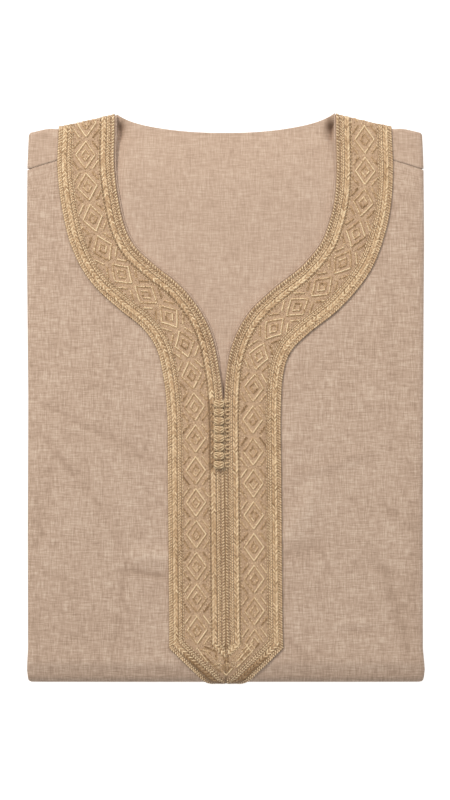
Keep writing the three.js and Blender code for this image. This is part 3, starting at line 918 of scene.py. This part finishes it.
def roundedLoop(inset, start, end, share):
    # outline of a ply with round corners, drawn in toward the middle by a share
    half = packet["halfWidth"] - inset
    radius = hidden["radius"]
    outline = []
    low, high = start + radius, end - radius
    for side, middleY, turn in ((1, low, -90), (1, high, 0), (-1, high, 90), (-1, low, 180)):
        for i in range(9):
            angle = math.radians(turn + 90 * i / 8)
            outline.append((side * (half - radius) + radius * math.cos(angle),
                            middleY + radius * math.sin(angle)))
    points = []
    for i, point in enumerate(outline):
        after = outline[(i + 1) % len(outline)]
        cuts = 1 if i % 9 < 8 else hidden["cuts"][(i // 9) % 2]
        points += [tuple(mix(a, b, k / cuts) for a, b in zip(point, after)) for k in range(cuts)]
    centre = (start + end) / 2
    return [(x * share, centre + (y - centre) * share) for x, y in points]


def buildHidden():
    sheet = ClothSheet()
    rings = []

    def ring(z, inset, start, end, share=1.0, phase=None):
        loop = roundedLoop(inset, start, end, share)
        if phase is not None:
            slow, quick = hidden["wander"]
            loop = [(x - (abs(x) > 120) * math.copysign(
                slow * math.sin(y / 37 + phase) + quick * math.sin(y / 13 + 2 * phase), x), y)
                for x, y in loop]
        numbers = [sheet.add([x, y, z], (x, y + 6 * z)) for x, y in loop]
        rings.append(numbers + numbers[:1])

    plies = hidden["plies"]
    for share in (0.25, 0.5, 0.72, 0.9):
        ring(plies[0]["top"], 9, -208, 143, share)
    for i, ply in enumerate(plies):
        half = (ply["top"] - ply["low"]) / 2
        middle = (ply["top"] + ply["low"]) / 2
        for k in range(7):
            angle = math.pi * k / 6
            inward = hidden["round"] * (1 - math.sin(angle))
            ring(middle + half * math.cos(angle), ply["inset"] + inward, ply["from"] + inward,
                 ply["to"] - inward, phase=i * 1.9)
        if ply["neck"] and i + 1 < len(plies):
            below = plies[i + 1]
            ends = (max(ply["from"], below["from"]) + 1.6, min(ply["to"], below["to"]) - 1.6)
            ring(ply["low"] - 0.05, ply["neck"], *ends)
            ring(below["top"] + 0.05, ply["neck"], *ends)
    for share in (0.9, 0.72, 0.5, 0.25):
        ring(plies[-1]["low"], 4.6, -208.4, 187.8, share)
    count = len(rings[0])
    upper = sheet.add([0, -32, plies[0]["top"]])
    lower = sheet.add([0, -10, plies[-1]["low"]])
    sheet.fill([[upper] * count, *rings, [lower] * count])
    piece = meshPiece("hiddenFolds", place(sheet.points), sheet.faces, clothMaterial,
                      uvs=sheet.uvs, replaces="folded_layers")
    print("hidden folds:", len(piece.data.polygons), "faces")
    return piece


hiddenFolds = buildHidden()

# the ground of the trim, one strip a side

def buildGround(name):
    side = sides[name]
    at, along, _ = smoothLine(trim[name], 2.5)
    keep = at[:, 1] > trim["straightY"]
    at, along = at[keep], along[keep]
    columns = np.array(trim["section"])
    fromNeck = columns[:, 0]
    rows = [beside(name, at[[i]], along[[i]], trim["width"] / 2 - fromNeck) for i in range(len(at))]
    x0 = rows[0][:, 0]
    over = [np.stack([x0, foldLineY(x0) + t * trim["wrap"]], -1)
            for t in (1, 0.8, 0.6, 0.4, 0.2, 0)]
    across, turnY, reach = turnAt(fromNeck)
    centre, outer = centreX(turnY), across + 0.5
    corner = np.stack([centre + side * outer, turnY], -1)
    straight = [rows[-1] * (1 - t) + corner * t for t in (0.33, 0.66)]
    point = [np.stack([centre + side * (outer - t * reach), turnY - t * reach], -1)
             for t in np.linspace(0, 1, 22)]
    grid = np.array([*over, *rows, *straight, *point])
    x, y = grid[..., 0], grid[..., 1]
    run = runOf(grid[:, len(fromNeck) // 2])
    uvs = np.stack(np.broadcast_arrays(fromNeck[None, :], run[:, None]), -1)
    # painted light and shade of the ribs, from the section's tones
    tones = np.broadcast_to(columns[:, 2], x.shape)
    points = place(skin(x, y, liftAt(y) + trim["base"] + columns[:, 1]))
    number = np.arange(x.size).reshape(x.shape)
    a, b, d, e = number[:-1, :-1], number[:-1, 1:], number[1:, :-1], number[1:, 1:]
    quads = np.stack([a, d, e, b] if name == "right" else [b, e, d, a], -1).reshape(-1, 4)
    piece = meshPiece("trimGround_" + name, points.reshape(-1, 3), quads, groundMaterial,
                      uvs=uvs.reshape(-1, 2), tones=tones.ravel(), replaces="band_" + name)
    thicken(piece, trim["wall"])
    print("trim ground", name + ":", len(piece.data.polygons), "faces")
    return piece


grounds = {name: buildGround(name) for name in sides}

# stitches: small pointed rolls of thread, joined by the hundred

def leaf(around, rings):
    # closed pointed roll along x with unit half-sizes
    places = [(-1.0, 0.0, 0.0)]
    turns = [2 * math.pi * j / around for j in range(around)]
    for i in range(1, rings + 1):
        u = -math.cos(math.pi * i / (rings + 1))
        size = (1 - u * u) ** 0.4
        places += [(u, size * math.cos(turn), size * math.sin(turn)) for turn in turns]
    places.append((1.0, 0.0, 0.0))
    faces = []
    for j in range(around):
        k = (j + 1) % around
        faces.append((0, 1 + k, 1 + j))
        for i in range(rings - 1):
            low = 1 + i * around
            faces.append((low + j, low + k, low + around + k, low + around + j))
        low = 1 + (rings - 1) * around
        faces.append((low + j, low + k, len(places) - 1))
    return np.array(places), faces


leaves = {"fine": leaf(6, 3), "plain": leaf(5, 2), "grain": leaf(4, 1)}


def stitchRows(spots, heading, facts, tones):
    # a row for each stitch: x, y, direction x and y, length, width, height, lift, tone
    sizes = [np.broadcast_to(facts[key], len(spots)) for key in ("long", "wide", "high", "lift")]
    return np.stack([*spots.T, *heading.T, *sizes, np.clip(tones, 0, 1)], -1)


def stitchMesh(name, rows, shape):
    places, faces = leaves[shape]
    heading = rows[:, 2:4] / np.linalg.norm(rows[:, 2:4], axis=1, keepdims=True)
    u, v, w = (places[None, :, i] * rows[:, None, 4 + i] / 2 for i in range(3))
    x = rows[:, None, 0] + heading[:, None, 0] * u - heading[:, None, 1] * v
    y = rows[:, None, 1] + heading[:, None, 1] * u + heading[:, None, 0] * v
    points = place(skin(x, y, liftAt(y) + trim["base"] + rows[:, None, 7] + w)).reshape(-1, 3)
    offsets = np.arange(len(rows)) * len(places)
    joined = [list(f) for face in faces for f in offsets[:, None] + np.array(face)[None, :]]
    return meshPiece(name, points, joined, threadMaterial,
                     tones=np.repeat(rows[:, 8], len(places)))


def turned(direction, degrees):
    c, s = np.cos(np.radians(degrees)), np.sin(np.radians(degrees))
    x, y = direction.T
    return np.stack([x * c - y * s, x * s + y * c], -1)


def paintedSheen(heading):
    # painted sheen: stitches that lie one way are painted lighter than those that lie the other,
    # as satin threads catch the light; from -0.5 to 0.5
    return (heading[:, 0] + heading[:, 1]) ** 2 / 2 - 0.5


def past(y, start, length):
    # from 0 to 1 over a length, going down from a place
    return ease((start - y) / length)


# how the tones change down the trim: by how much, from which y and over what length
downTrim = {
    "contrast": (0.9, -184, 8),  # light and dark differ more on the point
    "pressed": (-0.9, -190, 11),  # painted shade where the turned part nears the fold
    # painted shade at the tip, where the trim turns down round the fold
    "tip": (-0.3, -205, 9),
}
# and painted shade at soft spots on it: by how much, at which y and how long
spotsOnTrim = {"neck": (-0.14, 44, 24), "leftPlacket": (-0.1, -118, 28)}
besideKnotsY = {"from": -56, "to": 2, "over": 4}
# the knots' painted shadow on the left strip, painted light on the right strip's edge, and the
# painted sheen
stitchTone = {"paintedSheen": 0.2, "uneven": 0.15, "leftOfKnots": -0.4, "rightEdge": 0.5, "right": 0.15}


def changeDown(kind, y):
    amount, start, length = downTrim[kind]
    return amount * past(y, start, length)


def changeAt(kind, y):
    amount, middle, length = spotsOnTrim[kind]
    return amount * np.exp(-((y - middle) / length) ** 2)


def rowOfStitches(name, column, phase, braided):
    # a row down one lane of the trim
    fromNeck, pitch, slant, long, wide, high, lift, light, contrast = column
    line = lane(name, fromNeck)
    where = np.arange(pitch * (0.5 + phase), line[2][-1] - 0.3, pitch)
    count = len(where)
    spots, along = alongLine(line, where + random.normal(0, pitch * 0.035, count))
    y = spots[:, 1]
    slant = slant * (-1 if braided else sides[name])  # a braid runs round the neck in one direction
    heading = turned(along, slant + random.normal(0, 5, count))
    # light and dark stitches take turns
    turns = np.where(np.arange(count) % 2, 0.5, -0.5) * contrast
    turns = turns * (1 + changeDown("contrast", y))
    facts, knotsY = stitchTone, besideKnotsY
    tone = light + turns + paintedSheen(heading) * facts["paintedSheen"]
    tone = tone + random.normal(0, facts["uneven"], count)
    # painted shade near the fold and at the tip
    if 35 < fromNeck < 40:
        tone = tone + changeDown("pressed", y) * ease((fromNeck - 34.4) / 4.4)
    tone = tone + changeDown("tip", y)
    # painted shadow of the knots on the left strip beside them, and painted light on the right
    # strip's edge against their shadow
    if fromNeck < 12:
        tone = tone + changeAt("neck", y)
        share = ease((y - knotsY["from"]) / knotsY["over"]) * past(y, knotsY["to"], knotsY["over"])
        if name == "left" and fromNeck > 8.5:
            tone = tone + facts["leftOfKnots"] * share
        if name == "right" and fromNeck < 4:
            tone = tone + facts["rightEdge" if fromNeck < 2 else "right"] * share
    if name == "left":
        tone = tone + changeAt("leftPlacket", y)
    size = {"lift": lift}
    for key, value, uneven in (("long", long, 0.05), ("wide", wide, 0.06), ("high", high, 0.05)):
        size[key] = value * random.normal(1, uneven, count)
    return stitchRows(spots, heading, size, tone)


braids = {
    # each lane: distance from the neck edge, pitch, slant, length, width and height of a stitch,
    # its lift, how light it is and how much neighbours differ
    "cords": [
        (1.0, 1.1, 50, 2.4, 1.15, 1.0, 0.38, 0.58, 0.85),
        (2.5, 1.35, 8, 1.3, 0.8, 0.5, 0.22, 0.3, 0.7),
        (40.3, 0.95, 48, 1.8, 0.95, 0.8, 0.3, 0.55, 0.6),
        (41.8, 0.95, 52, 2.1, 1.05, 1.0, 0.38, 0.64, 0.5),
        (10.5, 1.5, 6, 1.4, 0.8, 0.5, 0.2, 0.3, 0.5),
        (11.4, 1.2, 10, 1.7, 0.75, 0.6, 0.24, 0.58, 0.4),
        (31.5, 1.2, 12, 1.7, 0.75, 0.6, 0.24, 0.62, 0.5),
        (35.5, 1.5, 6, 1.3, 0.7, 0.5, 0.2, 0.36, 0.35),
        (39.6, 1.5, 6, 1.3, 0.7, 0.5, 0.26, 0.36, 0.35),
    ],
    "thin": [
        (3.7, 1.0, -34, 2.1, 0.9, 0.8, 0.3, 0.6, 0.62),
        (5.1, 1.0, 34, 2.1, 0.9, 0.8, 0.3, 0.6, 0.62),
        (33.0, 1.0, -34, 2.1, 0.9, 0.8, 0.3, 0.6, 0.62),
        (34.4, 1.0, 34, 2.1, 0.9, 0.8, 0.3, 0.62, 0.62),
    ],
    "bold": [
        (7.1, 1.6, -33, 3.7, 1.3, 0.9, 0.34, 0.62, 0.32),
        (9.0, 1.6, 33, 3.7, 1.3, 0.9, 0.34, 0.62, 0.32),
        (36.5, 1.6, -33, 3.6, 1.3, 0.9, 0.34, 0.62, 0.32),
        (38.3, 1.6, 33, 3.6, 1.3, 0.9, 0.34, 0.62, 0.32),
    ],
}

onTrim = {name: [] for name in sides}
for name in sides:
    for kind, shape in (("cords", "plain"), ("thin", "plain"), ("bold", "fine")):
        rows = [rowOfStitches(name, column, 0.5 * (i % 2), kind != "cords")
                for i, column in enumerate(braids[kind])]
        onTrim[name].append(stitchMesh("braid_" + kind + "_" + name, np.concatenate(rows), shape))
    print("braids", name + ":", sum(len(p.data.polygons) for p in onTrim[name]), "faces")

# embroidery of the field: a chain of nested diamonds with chevrons beside it, on grained ground

field = {
    "middle": 21.4,  # from the neck edge
    "half": 9.4,
    "pitch": 24.1,
    "lastY": {"left": -175.0, "right": -160.7},
    "thread": {"pitch": 1.05, "long": 1.9, "wide": 1.2, "high": 1.0, "lift": 0.32, "turn": 12},
    # painted shadow: a dark line of stitches on the lower right of each thread, where its shadow
    # falls
    "shade": {"off": 1.0, "wide": 0.85, "high": 0.5, "lift": 0.12, "tone": 0.12},
    "diamond": (7.3, 10.3),
    # one quarter of a motif, mirrored both ways: across and along from the middle of the motif,
    # where a thread starts and ends, and how light it is
    "motif": [(0, 10.3, 7.3, 0, 0.92), (0, 4.4, 3.1, 0, 0.62), (9.4, 4.6, 5.0, 10.8, 0.6)],
    "uneven": (-0.06, 0.2),  # how the tones of whole threads differ: middle and spread
    # short grains of filling: spacing, size and how many stay at the heart, in the ring and
    # between the diamonds
    "grain": {"along": 1.5, "across": 1.25, "long": 1.7, "wide": 0.85, "high": 0.5, "lift": 0.1,
              "kept": (0.95, 0.35, 0.75), "crossed": 0.35, "onPoint": 150},
    "grainTones": {0.12: 0.25, 0.3: 0.25, 0.62: 0.3, 0.85: 0.2},  # each tone and its share
    "turnedFrom": 13.6,  # the field ends where the turned braids begin, from the point's edge
    # threads on the point, where the two strips meet and pucker: across from the middle line and
    # y, where each starts and ends, and how light it is; the darkest are painted shade in the
    # puckers
    "point": {
        "left": [
            (-0.2, -200.2, -3.9, -205.4, 0.25), (-3.9, -205.4, 0, -209.6, 0.7),
            (-0.4, -203.4, -1.8, -205.6, 0.1), (-1.9, -195.8, 1.6, -199.2, 0.12),
            (-16.2, -187.4, -8.0, -191.0, 0.12), (-19.0, -189.8, -11.8, -191.8, 0.6),
            (-8.3, -189.6, -7.7, -198.0, 0.3), (-19.0, -193.0, -14.0, -199.5, 0.8),
            (-17.0, -193.6, -4.5, -207.0, 0.15), (-11.0, -202.0, -5.0, -200.6, 0.55),
        ],
        "right": [
            (0.2, -200.2, 4.6, -204.2, 0.4), (4.6, -204.2, 0.2, -209.6, 0.95),
            (2.2, -204.2, 0.4, -207.0, 0.15), (1.9, -195.8, -1.4, -199.2, 0.2),
            (20.4, -184.6, 8.6, -198.4, 0.85), (20.4, -190.2, 7.4, -204.0, 0.75),
            (16.6, -186.0, 11.6, -191.6, 0.7), (9.5, -195.8, 12.8, -197.8, 0.2),
            (14.5, -190.5, 17.6, -192.6, 0.2),
        ],
    },
}


def fieldPlan(name, s, fromNeck):
    # places that far down the trim and from the neck edge; the line goes on past both its ends
    run = guides[name][2]
    spots, heading = alongLine(guides[name], s)
    spots[:, 1] = spots[:, 1] - np.minimum(s, 0) - np.maximum(s - run[-1], 0)
    return beside(name, spots, heading, trim["width"] / 2 - fromNeck), heading


def inField(rows, top=0.6):
    # stitches that lie above the turned braids and short of the end behind the shoulder
    x, y = rows[:, 0], rows[:, 1]
    lowest = trim["tipY"] + field["turnedFrom"] * math.sqrt(2) + np.abs(x - centreX(y)) + 0.7
    return rows[(y < foldLineY(x) + trim["wrap"] - top) & (y > lowest)]


def threadLine(spots, tone):
    # stitches along a line of plan places, each turned a little from it, and a painted shadow
    # of dark stitches on their lower right
    facts, shade = field["thread"], field["shade"]
    line = evenly(spots, 0.2)
    count = max(1, round(line[2][-1] / facts["pitch"]))
    spots, along = alongLine(line, (np.arange(count) + 0.5) * line[2][-1] / count)
    heading = turned(along, facts["turn"])
    tones = tone + 0.1 * paintedSheen(heading) + random.normal(0, 0.18, count)
    rows = stitchRows(spots, heading, facts, tones)
    # painted shadow: dark stitches beside each thread, on its lower right
    off = shade["off"] * np.where(heading[:, 0] + heading[:, 1] > 0, 1, -1)
    lower = np.stack([spots[:, 0] + off * heading[:, 1], spots[:, 1] - off * heading[:, 0]], -1)
    paintedShade = shade["tone"] + 0.14 * (0.5 - paintedSheen(heading)) + np.abs(random.normal(0, 0.12, count))
    return np.concatenate([rows, stitchRows(lower, heading, facts | shade, paintedShade)])


def motifMiddles(name):
    at, _, run = guides[name]
    lastRun = float(np.interp(-field["lastY"][name], -at[:, 1], run))
    return lastRun - field["pitch"] * np.arange(-1, 21)


def buildDiamonds(name):
    stitches = []
    t = np.linspace(0, 1, 12)
    for middle in motifMiddles(name):
        for acrossFrom, alongFrom, acrossTo, alongTo, tone in field["motif"]:
            for flipA, flipB in ((-1, -1), (-1, 1), (1, -1), (1, 1)):
                a, b = flipA * mix(acrossFrom, acrossTo, t), flipB * mix(alongFrom, alongTo, t)
                spots, _ = fieldPlan(name, middle - b, field["middle"] - a)
                stitches.append(threadLine(spots, tone + random.normal(*field["uneven"])))
    rows = [inField(np.concatenate(stitches))]
    for xa, ya, xb, yb, tone in field["point"][name]:
        spots = np.stack([mix(xa, xb, t), mix(ya, yb, t)], -1)
        spots[:, 0] += centreX(spots[:, 1])
        rows.append(threadLine(spots, tone))
    piece = stitchMesh("diamonds_" + name, np.concatenate(rows), "plain")
    print("diamonds", name + ":", len(piece.data.polygons), "faces")
    return piece


def buildGrain(name):
    facts, pitch = field["grain"], field["pitch"]
    s = np.arange(-16, guides[name][2][-1] + 22, facts["along"])
    a = np.arange(-field["half"] + 0.5, field["half"], facts["across"])
    s, a = (v.ravel() for v in np.meshgrid(s, a, indexing="ij"))
    s = s + random.uniform(-0.5, 0.5, len(s)) * facts["along"]
    a = a + random.uniform(-0.4, 0.4, len(a)) * facts["across"]
    # how far out in its diamond each grain lies: 1 is the diamond's edge
    b = (s - motifMiddles(name)[0] + pitch / 2) % pitch - pitch / 2
    reach = np.abs(a) / field["diamond"][0] + np.abs(b) / field["diamond"][1]
    heart, ring, between = facts["kept"]
    share = np.where(reach < 0.4, heart, np.where(reach < 0.95, ring, between))
    kept = random.random(len(s)) < share
    spots, along = fieldPlan(name, s[kept], field["middle"] - a[kept])
    # the same grain fills the corner that the strips close at the point
    extra = facts["onPoint"]
    x = random.uniform(0.8, 12, extra)
    y = trim["tipY"] + x + random.uniform(field["turnedFrom"] + 0.8, 24, extra) * math.sqrt(2)
    spots = np.concatenate([spots, np.stack([centreX(y) + sides[name] * x, y], -1)])
    heading = np.concatenate([along, np.tile([0.0, -1.0], (extra, 1))])
    count = len(spots)
    across = random.random(count) < facts["crossed"]
    heading[across] = heading[across][:, ::-1] * [1, -1]
    tones, shares = (list(v) for v in zip(*field["grainTones"].items()))
    tones = random.choice(tones, count, p=shares) + random.normal(0, 0.06, count)
    rows = inField(stitchRows(spots, heading, facts, tones))
    piece = stitchMesh("grain_" + name, rows, "grain")
    print("grain", name + ":", len(piece.data.polygons), "faces")
    return piece


for name in sides:
    onTrim[name] += [buildDiamonds(name), buildGrain(name)]

# where the strips meet: a row of dark stitches from the foot of the slit to the point, a painted
# shadow in the seam between the strips

closing = {"from": -1, "to": -229, "pitch": 1.25, "turn": 12, "tone": 0.06,
           "long": 1.7, "wide": 1.0, "high": 0.8, "lift": 0.16,
           "knotsEnd": -58, "knotTone": 0.85, "knotLift": 0.25, "tipTone": 0.35}


def buildClosing():
    y = np.arange(closing["from"], closing["to"], -closing["pitch"])
    heading = turned(np.tile([0.0, -1.0], (len(y), 1)), closing["turn"])
    # painted light between the loops, against the knots' shadow; lighter also where they join the
    # point
    besideKnots = ease((y - closing["knotsEnd"]) / 4)
    tones = closing["tone"] + closing["tipTone"] * (past(y, -186, 8) - past(y, -203, 9))
    tones = tones + closing["knotTone"] * besideKnots + 0.12 * past(y, -100, 50)
    tones = tones + random.normal(0, 0.1, len(y))
    facts = closing | {"lift": closing["lift"] + closing["knotLift"] * besideKnots}
    rows = stitchRows(np.stack([centreX(y), y], -1), heading, facts, tones)
    return stitchMesh("closingStitches", rows, "plain")


onTrim["left"].append(buildClosing())

# the neck's edge: the cloth is turned in, so that a thin roll of it shows beside the trim

neckTurn = {"radius": 0.7, "below": 0.35, "from": -1.0, "until": 20, "taper": 12, "thinnest": 0.2,
            "around": 7}


def squareTo(along, aside):
    # two directions square to each direction of a path
    along = along / np.linalg.norm(along, axis=1, keepdims=True)
    across = np.cross(along, aside)
    across /= np.linalg.norm(across, axis=1, keepdims=True)
    return across, np.cross(across, along)


def tube(path, radius, around, closed):
    # rings round a path, each square to it
    path = np.asarray(path, float)
    count = len(path)
    along = np.roll(path, -1, 0) - np.roll(path, 1, 0) if closed else np.gradient(path, axis=0)
    across, up = squareTo(along, [0.12, 0.08, 1.0])
    angles = (2 * np.pi * np.arange(around) / around)[None, :, None]
    outward = np.cos(angles) * across[:, None] + np.sin(angles) * up[:, None]
    points = path[:, None] + radius * outward
    faces = []
    for i in range(count if closed else count - 1):
        for j in range(around):
            low, high, k = i * around, (i + 1) % count * around, (j + 1) % around
            faces.append([low + j, low + k, high + k, high + j])
    points = points.reshape(-1, 3)
    if not closed:
        points = np.concatenate([points, path[:1], path[-1:]])
        for j in range(around):
            k = (j + 1) % around
            faces.append([len(points) - 2, k, j])
            faces.append([len(points) - 1, (count - 1) * around + j, (count - 1) * around + k])
    return points, faces


def joinParts(parts):
    # several (points, faces, tone) as one
    points, faces, tones, start = [], [], [], 0
    for partPoints, partFaces, tone in parts:
        points.append(partPoints)
        faces += [[f + start for f in face] for face in partFaces]
        tones.append(np.broadcast_to(tone, len(partPoints)))
        start += len(partPoints)
    return np.concatenate(points), faces, np.concatenate(tones)


def buildNeckTurn(name):
    at, _, run = lane(name, neckTurn["from"])
    keep = at[:, 1] > neckTurn["until"]
    at, run = at[keep][::3], run[keep][::3]
    taper = np.clip((at[:, 1] - neckTurn["until"]) / neckTurn["taper"], neckTurn["thinnest"], 1)
    radius = neckTurn["radius"] * taper[:, None, None]
    path = skin(at[:, 0], at[:, 1], -neckTurn["below"])
    points, faces = tube(path, radius, neckTurn["around"], False)
    uvs = np.stack([points[:, 0], np.interp(points[:, 1], path[::-1, 1], run[::-1])], -1)
    return meshPiece("neckTurn_" + name, place(points), faces, backMaterial, uvs=uvs)


neckTurns = [buildNeckTurn(name) for name in sides]

# knot buttons and loops

knots = {
    "x": -5.2,
    "rows": [-4.3, -10.8, -17.3, -23.8, -30.3, -36.9, -43.4, -50.2],
    "half": (4.8, 3.4, 2.75),
    # a woven ball: one cord led five times round with seven bights a side, over its own core
    "strand": 0.56,
    "rounds": 5,
    "bights": 7,
    "lean": 59,
    "tones": (0.54, 0.38, 0.12),  # middle, painted shade from over to under, and unevenness
    # painted shade: the core is dark, so that the gaps between strands look shaded
    "coreTone": 0.22,
    # the knot's own tail, sewn into the left strip
    "stem": [(-3.6, 0, -0.4), (-4.3, 0, -1.3), (-4.9, 0, -2.2), (-5.2, 0, -3.0)],
    "stemRadius": 0.75,
    "stemTone": 0.35,
    # a loop is two-ply twisted cord, sewn into the right strip at both ends
    "loopFrom": 1.7,
    "bend": 0.9,
    "loopHalf": 1.5,
    "loopRadius": 0.6,
    "loopEnd": [(1.1, -1.25), (0.5, -0.45), (-0.3, -0.02)],  # out and up from its seam
    "plies": [(0, 0.8), (1, 0.62)],  # half turns and tone
    "plyRadius": 0.48,
    "plyOffset": 0.3,
    "twist": 1.7,  # one turn, mm
}
trimTop = stack + trim["lift"] + trim["base"] + 0.8


def cordPiece(name, parts, spot, replaces):
    points, faces, tones = joinParts(parts)
    return meshPiece(name, place(points + np.array(spot)), faces, cordMaterial,
                     tones=tones, replaces=replaces)


def buildKnot(number, y):
    half = np.array(knots["half"]) - knots["strand"] - 0.2
    rounds, bights = knots["rounds"], knots["bights"]
    t = np.linspace(0, 2 * rounds * math.pi, 260, endpoint=False)
    lean = math.radians(knots["lean"]) * np.cos(bights * t / rounds)
    weave = np.sin(2 * bights * t / rounds)
    over = 1 + 0.08 * weave
    path = np.stack([half[0] * np.sin(lean) * 1.03, half[1] * np.cos(lean) * np.cos(t) * over,
                     half[2] * np.cos(lean) * np.sin(t) * over], -1)
    # painted shade: the cord darker where it passes under
    middle, swing, uneven = knots["tones"]
    tones = np.repeat(middle + swing * weave + random.normal(0, uneven, len(t)), 6)
    core, coreFaces = leaf(12, 5)
    core[1:-1, 1:] *= (1 - core[1:-1, :1] ** 2) ** 0.1
    core = core * (half + np.array([0.4, 0.1, 0.1]))
    parts = [(*tube(path, knots["strand"], 6, True), np.clip(tones, 0, 1)),
             (core, coreFaces, knots["coreTone"]),
             (*tube(knots["stem"], knots["stemRadius"], 7, False), knots["stemTone"])]
    z = trimTop + 0.12 + knots["half"][2]
    return cordPiece("knot_" + str(number), parts, [knots["x"], y, z], "knot_button_" + str(number))


def buildLoop(number, y):
    half, bend, start = knots["loopHalf"], knots["bend"], knots["loopFrom"]
    turn = np.linspace(math.pi / 2, 3 * math.pi / 2, 15)
    upper = [(start + out, half, high) for out, high in knots["loopEnd"]]
    line = upper + [(bend + half * math.cos(a), half * math.sin(a), 0) for a in turn]
    line = np.array(line + [(x, -above, high) for x, above, high in upper[::-1]])
    run = runOf(line)
    wanted = np.linspace(0, run[-1], 44)
    path = np.stack([np.interp(wanted, run, line[:, i]) for i in range(3)], -1)
    across, up = squareTo(np.gradient(path, axis=0), [0, 0, 1.0])
    parts = []
    for halfTurns, tone in knots["plies"]:
        angle = (wanted / knots["twist"] * 2 + halfTurns) * math.pi
        outward = np.cos(angle)[:, None] * across + np.sin(angle)[:, None] * up
        ply = tube(path + knots["plyOffset"] * outward, knots["plyRadius"], 6, False)
        parts.append((*ply, tone))
    z = trimTop + 0.1 + knots["loopRadius"]
    return cordPiece("loop_" + str(number), parts, [0, y, z], "button_loop_" + str(number))


for i, y in enumerate(knots["rows"]):
    buildKnot(i + 1, y)
    buildLoop(i + 1, y)
print("knots and loops:", len(knots["rows"]))
